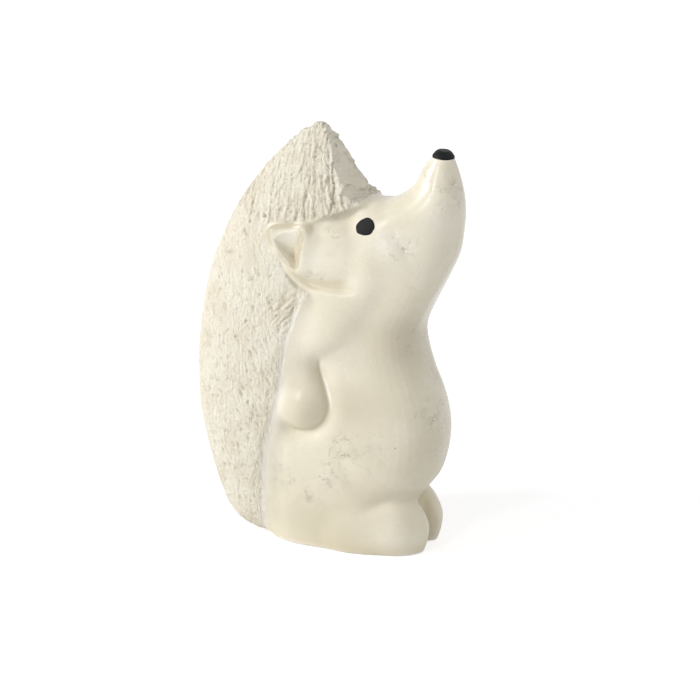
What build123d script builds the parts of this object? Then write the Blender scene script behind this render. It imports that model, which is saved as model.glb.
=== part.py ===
from build123d import *
import math
import os

# A standing hedgehog carved from one block of pale soapstone, with its nose in the air and its
# arms at its sides. Face, belly, arms and feet are polished. The coat of spines, which covers the
# back and rises to a peak behind the head, is left rough from the chisel. The eyes and the nose
# are black lacquer: the eyes fill shallow seats in the stone, and the nose is a skin over a bud of
# the stone.
#
# The figure faces -Y, its left side is +X, and Z is up from the floor that it stands on. The
# origin is at the middle of its bounding box, on the floor.

# The block that the figure is carved from
BLOCK_HEIGHT = 120.0
BLOCK_DEPTH = 79.0
BODY_WIDTH = 32.0
COAT_STEP = 1.8

# Head, from the cheeks to the end of the snout
HEAD_WIDTH = 28.0
HEAD_HEIGHT = 23.6

# Ears
EAR_LENGTH = 9.4
EAR_HEIGHT = 12.0
EAR_RIM = 1.5
EAR_CORNER = 1.5
EAR_STAND = 1.0
EAR_POCKET_DEPTH = 3.0

# Arms, from the bottom of the hand to the shoulder
HAND_HEIGHT = 35.0
ARM_LENGTH = 39.0
ARM_WIDTH = 17.2
ARM_THICKNESS = 10.4
ARM_SINK = 3.6
ARM_SWING = 12.5

# Feet
FOOT_HEIGHT = 21.0
FOOT_WIDTH = 13.8
FOOT_LENGTH = 26.0
FOOT_CLEFT = 1.8

# Black lacquer
EYE_DIAMETER = 5.3
EYE_SEAT_DEPTH = 0.5
NOSE_DIAMETER = 6.2
NOSE_TOP_DIAMETER = 3.9
NOSE_HEIGHT = 2.2
LACQUER_THICKNESS = 0.4

# How far a cutting solid runs past what it cuts
OVERRUN = 5.0

# Trunk, from the soles up through the belly and the throat into the snout. Each section has its
# front end and its rear end, as shares of the block's depth and height, its share of the body's
# half width, and how square it is, where 2 is an ellipse.
TRUNK_SHARES = [
    (0.201, 0.000, 0.685, 0.000, 0.875, 3.6),
    (0.176, 0.025, 0.715, 0.025, 0.890, 3.4),
    (0.161, 0.067, 0.758, 0.067, 0.895, 3.0),
    (0.148, 0.117, 0.790, 0.117, 0.893, 3.0),
    (0.128, 0.146, 0.809, 0.146, 0.895, 3.0),
    (0.091, 0.183, 0.822, 0.183, 0.935, 3.0),
    (0.068, 0.233, 0.834, 0.233, 0.980, 3.0),
    (0.059, 0.283, 0.847, 0.283, 0.990, 3.0),
    (0.065, 0.333, 0.859, 0.333, 0.968, 3.0),
    (0.085, 0.383, 0.859, 0.383, 0.927, 3.0),
    (0.116, 0.433, 0.859, 0.433, 0.887, 3.0),
    (0.143, 0.492, 0.859, 0.492, 0.845, 3.0),
    (0.147, 0.542, 0.847, 0.542, 0.805, 3.0),
    (0.110, 0.600, 0.834, 0.600, 0.762, 3.0),
    (0.061, 0.662, 0.771, 0.692, 0.710, 2.9),
    (0.020, 0.721, 0.619, 0.767, 0.665, 2.7),
    (0.005, 0.775, 0.442, 0.813, 0.610, 2.4),
    (0.001, 0.825, 0.284, 0.835, 0.535, 2.2),
    (0.008, 0.871, 0.182, 0.872, 0.412, 2.0),
    (0.024, 0.912, 0.143, 0.915, 0.292, 2.0),
]

# Coat by height: share of the block's height, of its depth at the front and the rear, of the
# coat's half width. The front lies inside the body, or is trimmed off along the hood's face.
COAT_SHARES = [
    (0.017, 0.480, 0.829, 0.560),
    (0.040, 0.467, 0.866, 0.680),
    (0.075, 0.454, 0.899, 0.760),
    (0.154, 0.429, 0.939, 0.855),
    (0.225, 0.404, 0.968, 0.920),
    (0.308, 0.378, 0.990, 0.975),
    (0.404, 0.353, 0.996, 1.000),
    (0.487, 0.328, 0.987, 0.985),
    (0.588, 0.290, 0.966, 0.940),
    (0.667, 0.265, 0.935, 0.885),
    (0.725, 0.252, 0.899, 0.820),
    (0.775, 0.252, 0.863, 0.735),
    (0.808, 0.258, 0.835, 0.665),
    (0.846, 0.277, 0.795, 0.570),
    (0.908, 0.334, 0.718, 0.400),
    (0.954, 0.391, 0.647, 0.250),
    (0.979, 0.429, 0.605, 0.155),
    (1.000, 0.473, 0.562, 0.055),
]
COAT_SQUARENESS = 2.4
# Where the polish stops, seen from the side, as shares of the block's depth and height: up behind
# the foot and the arm and forward under the cheek, up behind the ear, forward along the brow, and
# up the hood's face to the peak
POLISH_LINE_SHARES = [
    (0.687, 0.000), (0.685, 0.100), (0.677, 0.167), (0.662, 0.242), (0.637, 0.300),
    (0.604, 0.375), (0.586, 0.450), (0.565, 0.520), (0.550, 0.556), (0.532, 0.588),
    (0.508, 0.618), (0.503, 0.627), (0.520, 0.631), (0.552, 0.638), (0.581, 0.657),
    (0.610, 0.687), (0.637, 0.722), (0.650, 0.764), (0.594, 0.779), (0.530, 0.788),
    (0.461, 0.799), (0.404, 0.812), (0.346, 0.829), (0.396, 0.848), (0.428, 0.879),
    (0.449, 0.910), (0.477, 0.954), (0.500, 0.979), (0.523, 1.005),
]

# Cheeks, from the back of the head to where they sink into the snout: share of the block's depth
# and height at the middle of the section, upward tilt in degrees, share of the head's half height
# and half width, squareness
CHEEK_SHARES = [
    (0.670, 0.717, 4.0, 0.640, 0.930, 2.8),
    (0.581, 0.713, 4.0, 0.850, 1.000, 3.0),
    (0.467, 0.712, 8.0, 1.020, 0.965, 3.0),
    (0.353, 0.719, 18.0, 1.035, 0.885, 2.9),
    (0.246, 0.748, 36.0, 0.900, 0.640, 2.4),
]
# The snout's end, as shares of the block's depth and height, and the tilt of its axis
SNOUT_END_SHARES = (0.080, 0.945)
SNOUT_TILT = 85.0

# Eye and ear on the side of the head, as shares of the block's depth and height
EYE_PLACE_SHARES = (0.315, 0.788)
EAR_PLACE_SHARES = (0.587, 0.728)
# Corners of the ear's opening about its middle, as shares of its length and height
EAR_CORNER_SHARES = [(0.50, 0.38), (-0.50, 0.50), (-0.22, -0.50)]
EAR_FLOOR_SHARE = 0.30
EAR_FLOOR_SHIFT_SHARE = 0.12

# Arm by height: share of its length, of its swing, of its half width and half thickness, and of
# its distance from the middle plane
ARM_SHARES = [
    (0.000, 0.00, 0.34, 0.35, 1.00),
    (0.030, 0.00, 0.62, 0.65, 1.00),
    (0.100, 0.00, 0.92, 0.91, 1.00),
    (0.205, 0.02, 1.00, 1.00, 1.00),
    (0.333, 0.00, 0.93, 0.98, 1.00),
    (0.487, -0.04, 0.84, 0.93, 1.00),
    (0.640, 0.10, 0.88, 0.87, 0.93),
    (0.795, 0.44, 0.97, 0.78, 0.85),
    (0.920, 0.76, 0.95, 0.61, 0.81),
    (1.000, 0.96, 0.68, 0.35, 0.76),
]
ARM_PLACE_SHARE = 0.537

# Foot by height: share of its height, of its length taken off at the front and at the rear, of
# its width taken off at the inner and at the outer side
FOOT_SHARES = [
    (0.00, 0.055, 0.04, 0.050, 0.120),
    (0.20, 0.010, 0.01, 0.015, 0.030),
    (0.45, 0.000, 0.00, 0.000, 0.000),
    (0.70, 0.090, 0.03, 0.030, 0.030),
    (0.88, 0.220, 0.12, 0.100, 0.120),
    (1.00, 0.380, 0.25, 0.230, 0.320),
]
FOOT_FRONT_SHARE = 0.099
# Outline of the left foot from above, from the toes beside the cleft round the outer side to the
# heel and back: share of its width and of its length
FOOT_OUTLINE_SHARES = [
    (0.03, 0.15), (0.13, 0.02), (0.34, 0.00), (0.60, 0.06), (0.84, 0.20), (0.98, 0.45),
    (0.97, 0.80), (0.80, 0.98), (0.30, 1.00), (0.04, 0.85), (0.00, 0.50),
]

# How many points each rounded section is drawn through
OVAL_POINTS = 16


def depth_at(share):
    """The Y of a share of the block's depth, counted from its front."""
    return (share - 0.5) * BLOCK_DEPTH


def height_at(share):
    """The Z of a share of the block's height."""
    return share * BLOCK_HEIGHT


def oval(plane, half_x, half_y, squareness):
    """A closed, rounded face about a plane's origin. Squareness 2 gives an ellipse."""
    points = []
    for i in range(OVAL_POINTS):
        turn = 2 * math.pi * i / OVAL_POINTS
        c, s = math.cos(turn), math.sin(turn)
        reach = (abs(c) ** squareness + abs(s) ** squareness) ** (-1 / squareness)
        points.append(plane.from_local_coords((half_x * reach * c, half_y * reach * s, 0)))
    return make_face(Spline(*points, periodic=True))


def level(x, y, z):
    """A horizontal plane at a point."""
    return Plane(origin=(x, y, z), x_dir=(1, 0, 0), z_dir=(0, 0, 1))


def trunk():
    """Belly, chest, throat and snout, as one form that bends forward at the neck."""
    sections = []
    for y_front, z_front, y_rear, z_rear, width, squareness in TRUNK_SHARES:
        front = Vector(0, depth_at(y_front), height_at(z_front))
        rear = Vector(0, depth_at(y_rear), height_at(z_rear))
        across = (rear - front).normalized()
        plane = Plane(origin=(front + rear) / 2, x_dir=(1, 0, 0), z_dir=(0, -across.Z, across.Y))
        half_length = (rear - front).length / 2
        sections.append(oval(plane, width * BODY_WIDTH / 2, half_length, squareness))
    sections.append(oval(snout_plane(), NOSE_DIAMETER / 2, NOSE_DIAMETER / 2, 2.0))
    return loft(sections)


def snout_plane():
    """The plane of the snout's end, its Z along the snout."""
    tilt = math.radians(SNOUT_TILT)
    y, z = SNOUT_END_SHARES
    return Plane(
        origin=(0, depth_at(y), height_at(z)),
        x_dir=(1, 0, 0),
        z_dir=(0, -math.cos(tilt), math.sin(tilt)),
    )


def cheeks():
    """The broad part of the head, with the brow above and the jaw below."""
    sections = []
    for y, z, tilt, height, width, squareness in CHEEK_SHARES:
        turn = math.radians(tilt)
        plane = Plane(
            origin=(0, depth_at(y), height_at(z)),
            x_dir=(1, 0, 0),
            z_dir=(0, -math.cos(turn), math.sin(turn)),
        )
        sections.append(oval(plane, width * HEAD_WIDTH / 2, height * HEAD_HEIGHT / 2, squareness))
    return loft(sections)


def ear_face(x, grow, size, shift):
    """The ear's rounded triangle at a distance x from the middle plane."""
    y_mid, z_mid = depth_at(EAR_PLACE_SHARES[0]), height_at(EAR_PLACE_SHARES[1])
    half = max(EAR_LENGTH, EAR_HEIGHT) / 2
    scale = size * (half + grow) / half
    corners = [
        (x, y_mid + (y * scale + shift) * EAR_LENGTH, z_mid + z * scale * EAR_HEIGHT)
        for y, z in EAR_CORNER_SHARES
    ]
    outline = FilletPolyline(*corners, radius=EAR_CORNER * size, close=True)
    return make_face(outline)


def ear():
    """The left ear's flap, standing off the cheek."""
    inner, outer = HEAD_WIDTH / 4, HEAD_WIDTH / 2 + EAR_STAND
    return loft([ear_face(inner, 2 * EAR_RIM, 1.0, 0), ear_face(outer, EAR_RIM / 2, 1.0, 0)])


def ear_pocket():
    """What is cut out of the left ear."""
    outer = HEAD_WIDTH / 2 + EAR_STAND
    floor = outer - EAR_POCKET_DEPTH
    slope = (1.0 - EAR_FLOOR_SHARE) / EAR_POCKET_DEPTH
    mouth = 1.0 + slope * OVERRUN / 2
    return loft(
        [
            ear_face(floor, 0, EAR_FLOOR_SHARE, EAR_FLOOR_SHIFT_SHARE),
            ear_face(outer, 0, 1.0, 0),
            ear_face(outer + OVERRUN / 2, 0, mouth, 0),
        ],
        ruled=True,
    )


def arm():
    """The left arm, hanging from the shoulder with the hand on the hip."""
    x_mid = BODY_WIDTH / 2 - ARM_SINK
    sections = []
    for z, swing, width, thickness, lean in ARM_SHARES:
        plane = level(
            x_mid * lean,
            depth_at(ARM_PLACE_SHARE) - swing * ARM_SWING,
            HAND_HEIGHT + z * ARM_LENGTH,
        )
        sections.append(oval(plane, thickness * ARM_THICKNESS / 2, width * ARM_WIDTH / 2, 2.0))
    return loft(sections)


def foot():
    """The left foot, beside the cleft."""
    y_front = depth_at(FOOT_FRONT_SHARE)
    sections = []
    for z, front, rear, inner, outer in FOOT_SHARES:
        y0 = y_front + front * FOOT_LENGTH
        y1 = y_front + (1 - rear) * FOOT_LENGTH
        x0 = FOOT_CLEFT / 2 + inner * FOOT_WIDTH
        x1 = FOOT_CLEFT / 2 + (1 - outer) * FOOT_WIDTH
        corner = level(x0, y0, z * FOOT_HEIGHT)
        outline = [
            corner.from_local_coords((x * (x1 - x0), y * (y1 - y0), 0)) for x, y in FOOT_OUTLINE_SHARES
        ]
        sections.append(make_face(Spline(*outline, periodic=True)))
    return loft(sections)


def coat():
    """The whole coat of spines, before it is trimmed."""
    sections = []
    for z, front, rear, width in COAT_SHARES:
        y_front, y_rear = depth_at(front), depth_at(rear)
        half_width = width * (BODY_WIDTH / 2 + COAT_STEP)
        plane = level(0, (y_front + y_rear) / 2, height_at(z))
        sections.append(oval(plane, half_width, (y_rear - y_front) / 2, COAT_SQUARENESS))
    return loft(sections)


def polished_region():
    """Everything in front of the coat."""
    line = [(depth_at(y), height_at(z)) for y, z in POLISH_LINE_SHARES]
    (y_low, z_low), (y_high, z_high) = line[0], line[-1]
    front = depth_at(0) - OVERRUN
    bottom, top = z_low - OVERRUN, z_high + OVERRUN
    frame = [(y_high, top), (front, top), (front, bottom), (y_low, bottom)]
    side = make_face(Polyline(*line, *frame, close=True))
    return extrude(Plane.YZ * side, amount=BODY_WIDTH, both=True)


def both_sides(shape):
    """A left piece and its mirror image on the right."""
    return [shape, mirror(shape, about=Plane.YZ)]


def nose_dome(sink):
    """The nose's blunt cone on the snout's end, with a skin of this thickness taken off."""
    outline = Polyline(
        (0, 0),
        (NOSE_DIAMETER / 2 - sink, 0),
        (NOSE_DIAMETER / 2 - sink, NOSE_HEIGHT / 4),
        (NOSE_TOP_DIAMETER / 2 - sink / 2, NOSE_HEIGHT - sink),
        (0, NOSE_HEIGHT - sink),
        close=True,
    )
    profile = Plane.XZ * make_face(outline)
    return snout_plane() * revolve(profile, axis=Axis.Z)


def eye_seat(stone):
    """The round plug of stone that the left eye takes the place of."""
    y, z = depth_at(EYE_PLACE_SHARES[0]), height_at(EYE_PLACE_SHARES[1])
    ray = Axis((BODY_WIDTH + HEAD_WIDTH, y, z), (-1, 0, 0))
    point, normal = stone.shell().find_intersection_points(ray)[0]
    bottom = Plane(origin=point - normal * EYE_SEAT_DEPTH, z_dir=normal)
    height = EYE_SEAT_DEPTH + EYE_DIAMETER / 2
    return bottom * Cylinder(EYE_DIAMETER / 2, height, align=(Align.CENTER, Align.CENTER, Align.MIN))


def main():
    """Carves the stone, lays in the lacquer and writes one file for each piece."""
    stone = trunk() + cheeks()
    for form in (foot, arm, ear):
        for shape in both_sides(form()):
            stone += shape
    spines = coat() - polished_region() - stone
    for shape in both_sides(ear_pocket()):
        stone -= shape
    left_seat, right_seat = both_sides(eye_seat(stone.solid()))
    eye_left, eye_right = stone & left_seat, stone & right_seat
    stone -= left_seat
    stone -= right_seat

    core = nose_dome(LACQUER_THICKNESS)
    nose = nose_dome(0) - core
    body = stone + core

    pieces = {
        "polished_body": body,
        "spine_coat": spines,
        "eye_left": eye_left,
        "eye_right": eye_right,
        "nose_cap": nose,
    }
    box = Compound(children=[Compound(p.solids()) for p in pieces.values()]).bounding_box()
    middle = box.center()
    to_origin = Location((-middle.X, -middle.Y, -box.min.Z))
    os.makedirs("parts", exist_ok=True)
    for name, piece in pieces.items():
        solids = [solid.moved(to_origin) for solid in piece.solids()]
        export_step(Compound(solids), f"parts/{name}.step")
        print(name, len(solids), round(sum(s.volume for s in solids), 1))


main()
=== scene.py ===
"""A standing hedgehog carved in pale soapstone, with a rough coat and black enamel eyes and nose.

Forms are measured in millimetres on a block of sample points, where soft unions and cuts shape
the stone, and are then turned into meshes in metres. The figure faces -Y, its left side is +X, Z
is up, and it stands on the floor at Z = 0.
"""

from __future__ import annotations

import logging
import math
from dataclasses import dataclass
from enum import Enum
from functools import partial, reduce

import bpy
import numpy as np
import openvdb
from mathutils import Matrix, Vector

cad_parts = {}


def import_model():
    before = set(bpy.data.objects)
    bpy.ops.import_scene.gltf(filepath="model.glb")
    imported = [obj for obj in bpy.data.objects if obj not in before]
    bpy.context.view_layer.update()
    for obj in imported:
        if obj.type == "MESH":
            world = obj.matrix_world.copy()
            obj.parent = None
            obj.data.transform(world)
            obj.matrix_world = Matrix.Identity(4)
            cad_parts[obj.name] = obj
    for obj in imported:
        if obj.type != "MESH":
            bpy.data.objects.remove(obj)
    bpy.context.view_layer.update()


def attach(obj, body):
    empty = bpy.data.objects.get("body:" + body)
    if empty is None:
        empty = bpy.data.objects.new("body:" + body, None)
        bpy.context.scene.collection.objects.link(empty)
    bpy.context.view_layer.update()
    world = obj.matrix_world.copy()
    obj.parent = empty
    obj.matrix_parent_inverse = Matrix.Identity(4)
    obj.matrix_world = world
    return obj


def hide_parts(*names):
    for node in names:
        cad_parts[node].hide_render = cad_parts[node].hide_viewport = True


LOG = logging.getLogger("hedgehog")
MM = 0.001
Array = np.ndarray
Socket = bpy.types.NodeSocket
Sockets = bpy.types.bpy_prop_collection
Colour = tuple[int, int, int]
Pair = tuple[float, float]
Place = tuple[float, float, float]
Table = tuple[tuple[float, ...], ...]


class Side(Enum):
    """Which side of the figure a piece is on, as the sign of its X."""

    LEFT = 1
    RIGHT = -1


# ---- small tools for forms ----


def paint(red: int, green: int, blue: int) -> tuple[float, float, float, float]:
    """A colour from screen values of 0 to 255, as the linear values that shaders take.

    Args:
        red: The red screen value.
        green: The green screen value.
        blue: The blue screen value.

    Returns:
        Linear red, green and blue, and an alpha of one.
    """
    shares = (value / 255 for value in (red, green, blue))
    linear = [s / 12.92 if s <= 0.04045 else ((s + 0.055) / 1.055) ** 2.4 for s in shares]
    return (linear[0], linear[1], linear[2], 1.0)


def ease(values: Array, start: float, end: float) -> Array:
    """Rises smoothly from 0 at start to 1 at end.

    Args:
        values: Any numbers.
        start: The value that gives 0.
        end: The value that gives 1; it may be below start.

    Returns:
        Numbers from 0 to 1.
    """
    share = np.clip((values - start) / (end - start), 0.0, 1.0)
    return share * share * (3.0 - 2.0 * share)


def melt(first: Array, second: Array, radius: Array | float) -> Array:
    """Joins two forms, with the crease between them filled to a soft radius."""
    near = np.maximum(radius - np.abs(first - second), 0.0) / radius
    return np.minimum(first, second) - near * near * radius * 0.25


def trim(first: Array, second: Array, radius: Array | float) -> Array:
    """Keeps what is inside both forms, with the edge rounded off."""
    return -melt(-first, -second, radius)


def faired(rows: Array, between: int, closed: bool = False) -> Array:
    """Adds rows between those of a table, along a smooth curve through them.

    Args:
        rows: A table with one row for each station.
        between: How many rows each span gives.
        closed: Whether the last row leads back to the first.

    Returns:
        The longer table.
    """
    if closed:
        padded = np.vstack([rows[-1:], rows, rows[:2]])
    else:
        padded = np.vstack([2 * rows[0] - rows[1], rows, 2 * rows[-1] - rows[-2]])
    t = np.linspace(0.0, 1.0, between, endpoint=False)[:, None]
    spans = []
    for a, b, c, d in zip(padded, padded[1:], padded[2:], padded[3:]):
        bend = (2 * a - 5 * b + 4 * c - d) * t**2 + (3 * b - a - 3 * c + d) * t**3
        spans.append(0.5 * (2 * b + (c - a) * t + bend))
    if not closed:
        spans.append(rows[-1:])
    return np.vstack(spans)


def spot(*shares: Array) -> Array:
    """One at a place, fading out round it.

    Args:
        *shares: How far values are from the place, as shares of the spot's reach.

    Returns:
        Numbers from 0 to 1.
    """
    return np.exp(-sum(share**2 for share in shares))


def oval(middle: Place, wide: float, along: Array | Pair, squareness: float) -> Array:
    """A rounded ring of points across the figure.

    Args:
        middle: Its middle.
        wide: Its half width.
        along: From its middle to one end, in Y and Z.
        squareness: How square it is; 2 gives an ellipse.

    Returns:
        The points, one in a row.
    """
    turn = np.linspace(0.0, 2 * math.pi, 72, endpoint=False)
    c, s = np.cos(turn), np.sin(turn)
    reach = (np.abs(c) ** squareness + np.abs(s) ** squareness) ** (-1.0 / squareness)
    sideways = np.outer(reach * c, (wide, 0.0, 0.0))
    return np.array(middle) + sideways + np.outer(reach * s, (0.0, *along))


def capped(rings: Array) -> tuple[Array, Array, Array]:
    """Joins rings into a closed skin, with one more point in the middle of each end.

    Args:
        rings: Rings of points from one end of the form to the other.

    Returns:
        The points, the four-sided faces between the rings, and the three-sided faces at the ends.
    """
    m, n, _ = rings.shape
    points = np.vstack([rings.reshape(-1, 3), rings[0].mean(0), rings[-1].mean(0)])
    i = np.arange(n)
    j = (i + 1) % n
    band = np.stack([i, j, n + j, n + i], 1)
    quads = np.vstack([band + k * n for k in range(m - 1)])
    start = np.stack([np.full(n, m * n), j, i], 1)
    finish = np.stack([np.full(n, m * n + 1), (m - 1) * n + i, (m - 1) * n + j], 1)
    return points, quads, np.vstack([start, finish])


@dataclass(frozen=True)
class Lattice:
    """The block of sample points that forms are measured on.

    The block is as wide to the left as to the right, so that turning an array round along its
    first axis gives its mirror image.
    """

    voxel: float
    low: Place
    high: Place
    reach: float = 6.0

    def first(self) -> tuple[int, int, int]:
        """The lowest corner, in steps."""
        x, y, z = (round(value / self.voxel) for value in self.low)
        return (x, y, z)

    def axes(self) -> tuple[Array, Array, Array]:
        """X, Y and Z of the sample points, shaped to combine into a block.

        Returns:
            Three arrays, each with one long axis.
        """
        ends = [round(value / self.voxel) + 1 for value in self.high]
        x, y, z = (
            np.arange(a, b, dtype=np.float32) * np.float32(self.voxel)
            for a, b in zip(self.first(), ends)
        )
        return x[:, None, None], y[None, :, None], z[None, None, :]

    def shape(self) -> tuple[int, ...]:
        """How many sample points there are each way."""
        return tuple(axis.size for axis in self.axes())

    def points(self) -> Array:
        """Every sample point, one in a row."""
        x, y, z = np.broadcast_arrays(*self.axes())
        return np.stack([x.ravel(), y.ravel(), z.ravel()], 1)

    def distance(self, rings: Array) -> Array:
        """Measures how far each sample point is from a closed form.

        Args:
            rings: Rings of points from one end of the form to the other.

        Returns:
            Distances, negative inside the form, and cut off at the lattice's reach.
        """
        points, quads, ends = capped(rings)
        grid = openvdb.FloatGrid.createLevelSetFromPolygons(
            points.astype(np.float32),
            triangles=ends.astype(np.uint32),
            quads=quads.astype(np.uint32),
            transform=openvdb.createLinearTransform(voxelSize=self.voxel),
            halfWidth=self.reach / self.voxel,
        )
        values = np.full(self.shape(), self.reach, np.float32)
        grid.copyToArray(values, ijk=self.first())
        return values

    def skin(self, values: Array) -> tuple[Array, Array]:
        """Finds the surface of a form.

        Args:
            values: The form's distances.

        Returns:
            Points in millimetres, and four-sided faces that point outwards.
        """
        grid = openvdb.FloatGrid(self.reach)
        grid.copyFromArray(np.ascontiguousarray(values, np.float32), ijk=self.first())
        grid.transform = openvdb.createLinearTransform(voxelSize=self.voxel)
        points, quads = grid.convertToQuads(isovalue=0.0)
        a, b, c, d = (points[quads[:, k]].astype(float) for k in range(4))
        volume = (a * (np.cross(b, c) + np.cross(c, d))).sum()
        return points, quads[:, ::-1] if volume < 0 else quads

    def sample(self, values: Array, points: Array) -> Array:
        """Reads a form's distances at any points, between the lattice's own.

        Args:
            values: The form's distances.
            points: The points, in millimetres, one in a row.

        Returns:
            One distance for each point.
        """
        place = points / self.voxel - np.array(self.first())
        place = np.clip(place, 0.0, np.array(values.shape) - 1.001)
        base = np.floor(place).astype(int)
        fx, fy, fz = (place - base).T
        i, j, k = base.T
        found = np.zeros(len(points))
        for di, wx in ((0, 1 - fx), (1, fx)):
            for dj, wy in ((0, 1 - fy), (1, fy)):
                for dk, wz in ((0, 1 - fz), (1, fz)):
                    found += wx * wy * wz * values[i + di, j + dj, k + dk]
        return found

    def facing(self, values: Array, points: Array, step: float = 0.4) -> Array:
        """Finds which way a form faces at any points, as one unit vector in a row.

        Args:
            values: The form's distances.
            points: The points, in millimetres, one in a row.
            step: How far to each side it looks, in millimetres.

        Returns:
            The unit vectors.
        """
        steps = step * np.eye(3)
        rise = [self.sample(values, points + s) - self.sample(values, points - s) for s in steps]
        rise = np.stack(rise, 1)
        return rise / np.maximum(np.linalg.norm(rise, axis=1, keepdims=True), 1e-6)

    def softened(self, values: Array, radius: float) -> Array:
        """Averages a form's distances over a small cube about each sample point.

        Args:
            values: The form's distances.
            radius: Half the cube's width, in millimetres.

        Returns:
            The averaged distances.
        """
        steps = max(1, round(radius / self.voxel))
        for axis in range(3):
            pad = [(steps + 1, steps) if a == axis else (0, 0) for a in range(3)]
            total = np.cumsum(np.pad(values, pad, mode="edge"), axis=axis, dtype=np.float64)
            upper = np.take(total, range(2 * steps + 1, total.shape[axis]), axis=axis)
            lower = np.take(total, range(0, total.shape[axis] - 2 * steps - 1), axis=axis)
            values = ((upper - lower) / (2 * steps + 1)).astype(np.float32)
        return values

    def ripple(self, spacing: float, seed: int) -> Array:
        """A smooth random pattern from -1 to 1, with bumps about this far apart.

        Args:
            spacing: How far apart the bumps are, in millimetres.
            seed: What the pattern is drawn from.

        Returns:
            One number for each sample point.
        """
        counts = [math.ceil((b - a + 2) / spacing) + 2 for a, b in zip(self.low, self.high)]
        coarse = np.random.default_rng(seed).uniform(-1, 1, counts)
        for axis, fine in enumerate(self.axes()):
            place = (fine.ravel() - self.low[axis] + 1) / spacing
            base = np.floor(place).astype(int)
            share = place - base
            share = share * share * (3 - 2 * share)
            share = share.reshape([-1 if a == axis else 1 for a in range(3)])
            near = np.take(coarse, base, axis=axis)
            far = np.take(coarse, base + 1, axis=axis)
            coarse = near * (1 - share) + far * share
        return coarse.astype(np.float32)


# ---- small tools for nodes and meshes ----


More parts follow.
